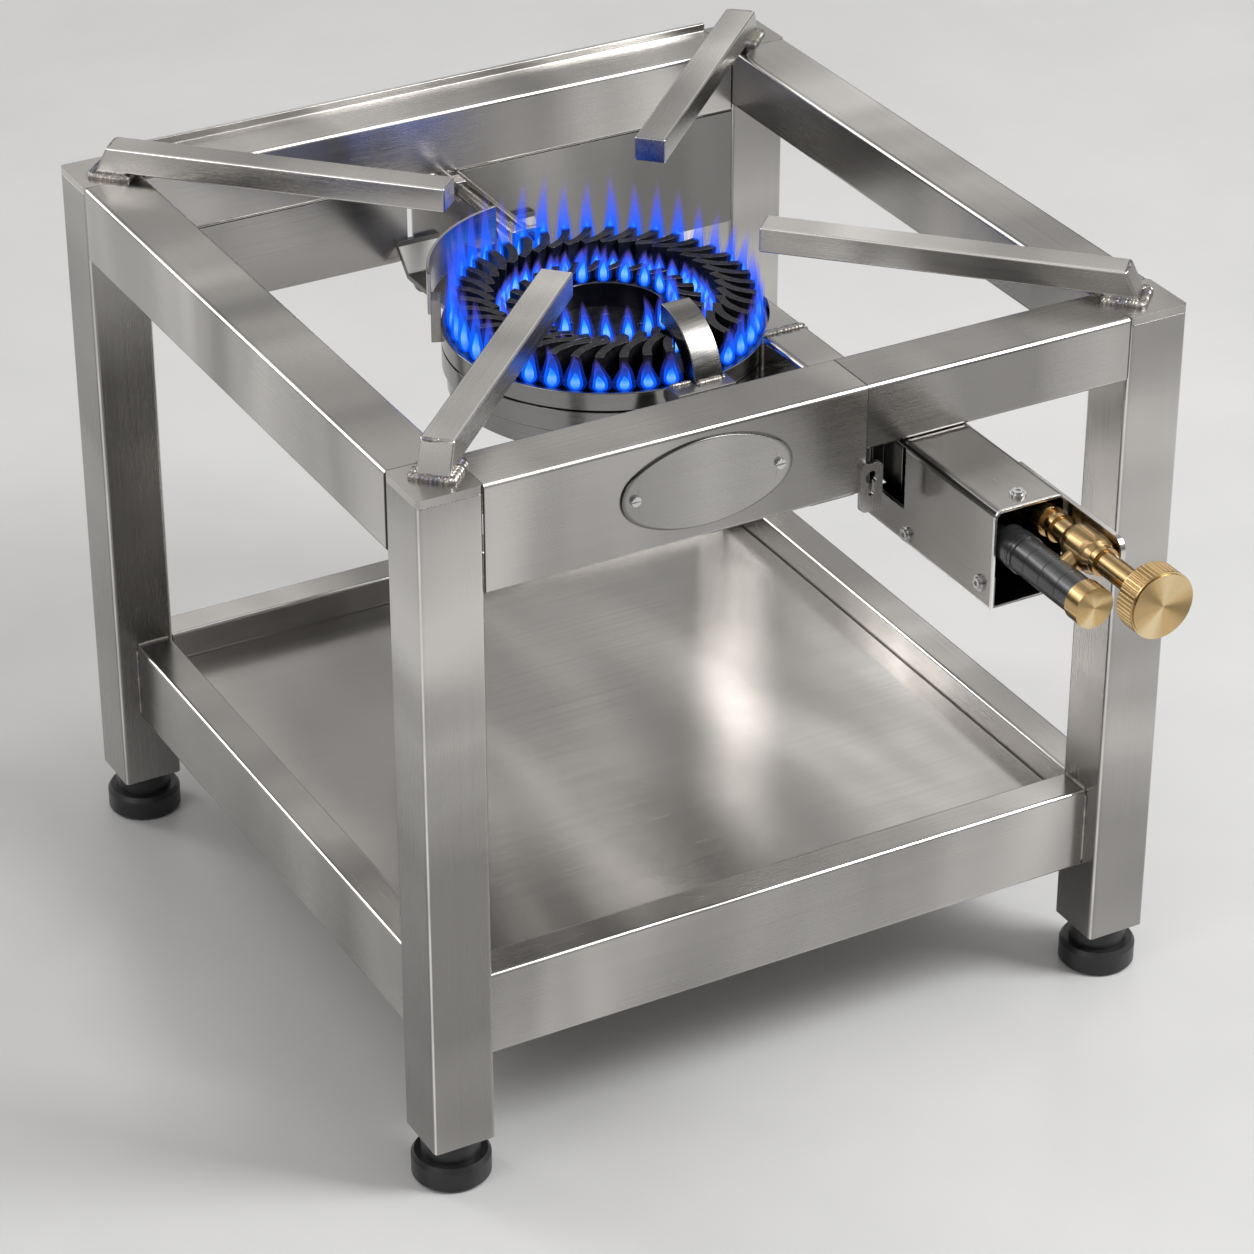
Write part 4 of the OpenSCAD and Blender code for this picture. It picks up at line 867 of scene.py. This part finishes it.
# Outlines of a flame: part of its height and part of its radius there
TALL = [(0.0, 0.50), (0.05, 0.80), (0.13, 1.0), (0.25, 0.97), (0.38, 0.84),
        (0.52, 0.68), (0.66, 0.51), (0.80, 0.34), (0.91, 0.18), (1.0, 0.02)]
DROP = [(0.0, 0.30), (0.06, 0.66), (0.16, 0.92), (0.28, 1.0), (0.42, 0.93),
        (0.56, 0.76), (0.70, 0.54), (0.83, 0.31), (0.93, 0.13), (1.0, 0.01)]
FLAME_SIDES = 10
FLAT = 0.85                  # depth of a flame along the burner's radius, as part of its width
CORE_LIFT = 0.0004
CORE_WIDTH = 0.60            # core and halo as parts of the flame's width and height
HALO_WIDTH = 1.5
HALO_HEIGHT = 1.10


def flame(base, height, radius, lean, shape, turn, wobble):
    """One skin of a flame: vertices, faces and the height at each vertex."""
    verts, faces, along = [], [], []
    spin = Matrix.Rotation(turn, 3, "Z")
    for h, w in shape:
        sway = Vector((math.sin(wobble + h * 5.0), math.cos(wobble * 1.3 + h * 4.0), 0))
        centre = base + (lean * h * h + sway * (0.22 * radius * h))
        for j in range(FLAME_SIDES):
            q = 2 * math.pi * j / FLAME_SIDES
            out = Vector((math.cos(q) * FLAT, math.sin(q), 0))
            out.rotate(spin)
            verts.append(centre + out * (radius * w) + Vector((0, 0, height * h)))
            along.append(h)
    for i in range(len(shape) - 1):
        for j in range(FLAME_SIDES):
            a = i * FLAME_SIDES + j
            b = i * FLAME_SIDES + (j + 1) % FLAME_SIDES
            faces.append((a, b, b + FLAME_SIDES, a + FLAME_SIDES))
    return verts, faces, along


def flame_ring(name, radius, count, z, tall, wide, shape, offset, core,
               lean_out=0.0020, skip=None, rise=None):
    """A ring of flames, each with three skins: soft halo, blue body and bright core.

    wide is a flame's largest radius, offset a part of the step between two flames and core a part of tall.
    """
    kinds = {"halo": (mat_halo, HALO_HEIGHT, HALO_WIDTH, TALL, 0.0),
             "glow": (mat_outer, 1.0, 1.0, shape, 0.0),
             "core": (mat_core, core, CORE_WIDTH, DROP, CORE_LIFT)}
    skins = {key: ([], []) for key in kinds}
    for i in range(count):
        turn = 2 * math.pi * (i + offset) / count
        if skip and skip(turn):
            continue
        out = Vector((math.cos(turn), math.sin(turn), 0))
        along_ring = Vector((-out.y, out.x, 0))
        base = local(out.x * radius, out.y * radius, z)
        size = (rise(turn) if rise else 1.0) * random.uniform(0.90, 1.08)
        lean = out * (lean_out * random.uniform(0.6, 1.3)) - along_ring * 0.0015
        wobble = random.uniform(0, 6.28)
        for key, (material, high, broad, form, lift) in kinds.items():
            v, f, along = flame(base + Vector((0, 0, lift)), tall * size * high, wide * broad,
                                lean * high, form, turn, wobble)
            skins[key][0].append((v, f))
            skins[key][1].extend(along)
    for key, (parts, along) in skins.items():
        piece(name + "_" + key, *join(parts), kinds[key][0], "black_iron", along=along)


ARCH_TURN = 279              # degrees round the burner to the arch strap
ARCH_CLEAR = 9


def near_arch(turn):
    return abs(math.degrees(turn) - ARCH_TURN) < ARCH_CLEAR


def back_rise(turn):
    """Low in front, tall at the back, as the draught lifts them."""
    return 0.36 + 0.64 * (0.5 + 0.5 * math.sin(turn + 0.15)) ** 0.8


flame_ring("flames_rim", radius=0.0925, count=40, z=DECK, tall=0.056, wide=0.0048, shape=TALL,
           offset=0.62, core=0.50, skip=near_arch, rise=back_rise)
flame_ring("flames_slots", radius=0.0645, count=40, z=DECK + 0.001, tall=0.019, wide=0.0036, shape=DROP,
           offset=0.40, core=0.7, lean_out=-0.001, skip=near_arch)
flame_ring("flames_middle", radius=0.0615, count=26, z=DECK + 0.001, tall=0.016, wide=0.0036, shape=DROP,
           offset=0.55, core=0.7)
flame_ring("flames_well", radius=0.0425, count=20, z=DECK + 0.007, tall=0.024, wide=0.0037, shape=TALL,
           offset=0.5, core=0.6, lean_out=-0.002)


# Floor, light and camera
def ground():
    """A pale, slightly glossy studio floor."""
    half = 9.0
    corners = [(-half, -half, 0), (half, -half, 0), (half, half, 0), (-half, half, 0)]
    me = bpy.data.meshes.new("floor")
    me.from_pydata(corners, [], [(0, 1, 2, 3)])
    o = bpy.data.objects.new("floor", me)
    bpy.context.collection.objects.link(o)
    m = Mat("floor_pale")
    p = m.coords()
    cloud = m.noise(p, 3.0, 4.0, 0.6)
    grain = m.noise(p, 260.0, 3.0, 0.6)
    col = m.mix(m.span(cloud, 0.3, 0.7), (0.60, 0.60, 0.605, 1), (0.66, 0.66, 0.66, 1))
    m.surface(Base_Color=col, Roughness=m.span(grain, 0.3, 0.7, 0.30, 0.42),
              Normal=m.bump(grain, 0.05, 0.0004))
    me.materials.append(m.made)


# Pale screens round the object: middle angle from the back in radians, half width and strength
SCREENS = ((0.585, 0.030, 1.1), (0.66, 0.012, 0.8), (0.40, 0.05, 0.45),
           (-0.58, 0.20, 1.3), (1.9, 0.30, 1.2), (-1.9, 0.35, 0.4))


def studio():
    """Soft room light: a gradient by height with a few broad pale screens."""
    world = bpy.data.worlds.new("studio")
    bpy.context.scene.world = world
    world.use_nodes = True
    m = Nodes(world.node_tree)
    out = m.node("ShaderNodeOutputWorld")
    light = m.node("ShaderNodeBackground")
    x, y, z = m.split(m.node("ShaderNodeTexCoord").outputs["Generated"])
    turn = m.math("ARCTAN2", x, y)
    val = m.ramp(z, [(0.0, 0.20), (0.25, 0.28), (0.45, 0.46), (0.62, 0.58), (0.8, 0.42), (1.0, 0.34)])
    for mid, half, power in SCREENS:
        screen = m.span(m.apart(turn, mid), half * 2.0, half * 0.4)
        screen = m.times(screen, m.span(z, 0.05, 0.30))
        val = m.plus(val, m.times(screen, power))
    m.put(m.mix(1.0, val, (1.0, 0.985, 0.965, 1), "MULTIPLY"), light.inputs[0])
    m.put(0.9, light.inputs[1])
    m.put(light.outputs[0], out.inputs[0])


def lamp(name, place, size, size_y, power):
    """A rectangular lamp that points at the stove's middle."""
    aim = Vector((0, MID_Y, 0.25))
    d = bpy.data.lights.new(name, "AREA")
    d.shape = "RECTANGLE"
    d.size = size
    d.size_y = size_y
    d.energy = power
    o = bpy.data.objects.new(name, d)
    bpy.context.collection.objects.link(o)
    o.location = place
    o.rotation_euler = (aim - Vector(place)).to_track_quat("-Z", "Y").to_euler()


CAMERA_X = -1.0973
CAMERA_Y = -2.0227           # from the frame's middle
CAMERA_Z = 1.5337
CAMERA_DOWN = 30.28          # degrees below level
CAMERA_TURN = -28.81
SENSOR = 36                  # mm
PICTURE = 1254               # the photo's width in pixels
FOCAL = 4200                 # focal length in the photo's pixels


def camera():
    """The fixed camera that sees the stove as the photo does."""
    data = bpy.data.cameras.new("camera")
    data.sensor_width = SENSOR
    data.lens = FOCAL / PICTURE * SENSOR
    data.clip_start = 0.05
    data.clip_end = 60
    cam = bpy.data.objects.new("camera", data)
    bpy.context.collection.objects.link(cam)
    cam.location = (CAMERA_X, CAMERA_Y + MID_Y, CAMERA_Z)
    cam.rotation_euler = (math.radians(90 - CAMERA_DOWN), 0, math.radians(CAMERA_TURN))
    bpy.context.scene.camera = cam


ground()
studio()
lamp("over", (1.5, -1.3, 2.4), 0.9, 1.4, 66)
lamp("left_back", (-1.6, 2.4, 1.5), 0.5, 1.6, 10)
lamp("left", (-2.6, -0.4, 2.2), 1.2, 1.2, 10)
camera()
bpy.context.scene.view_settings.view_transform = "Standard"
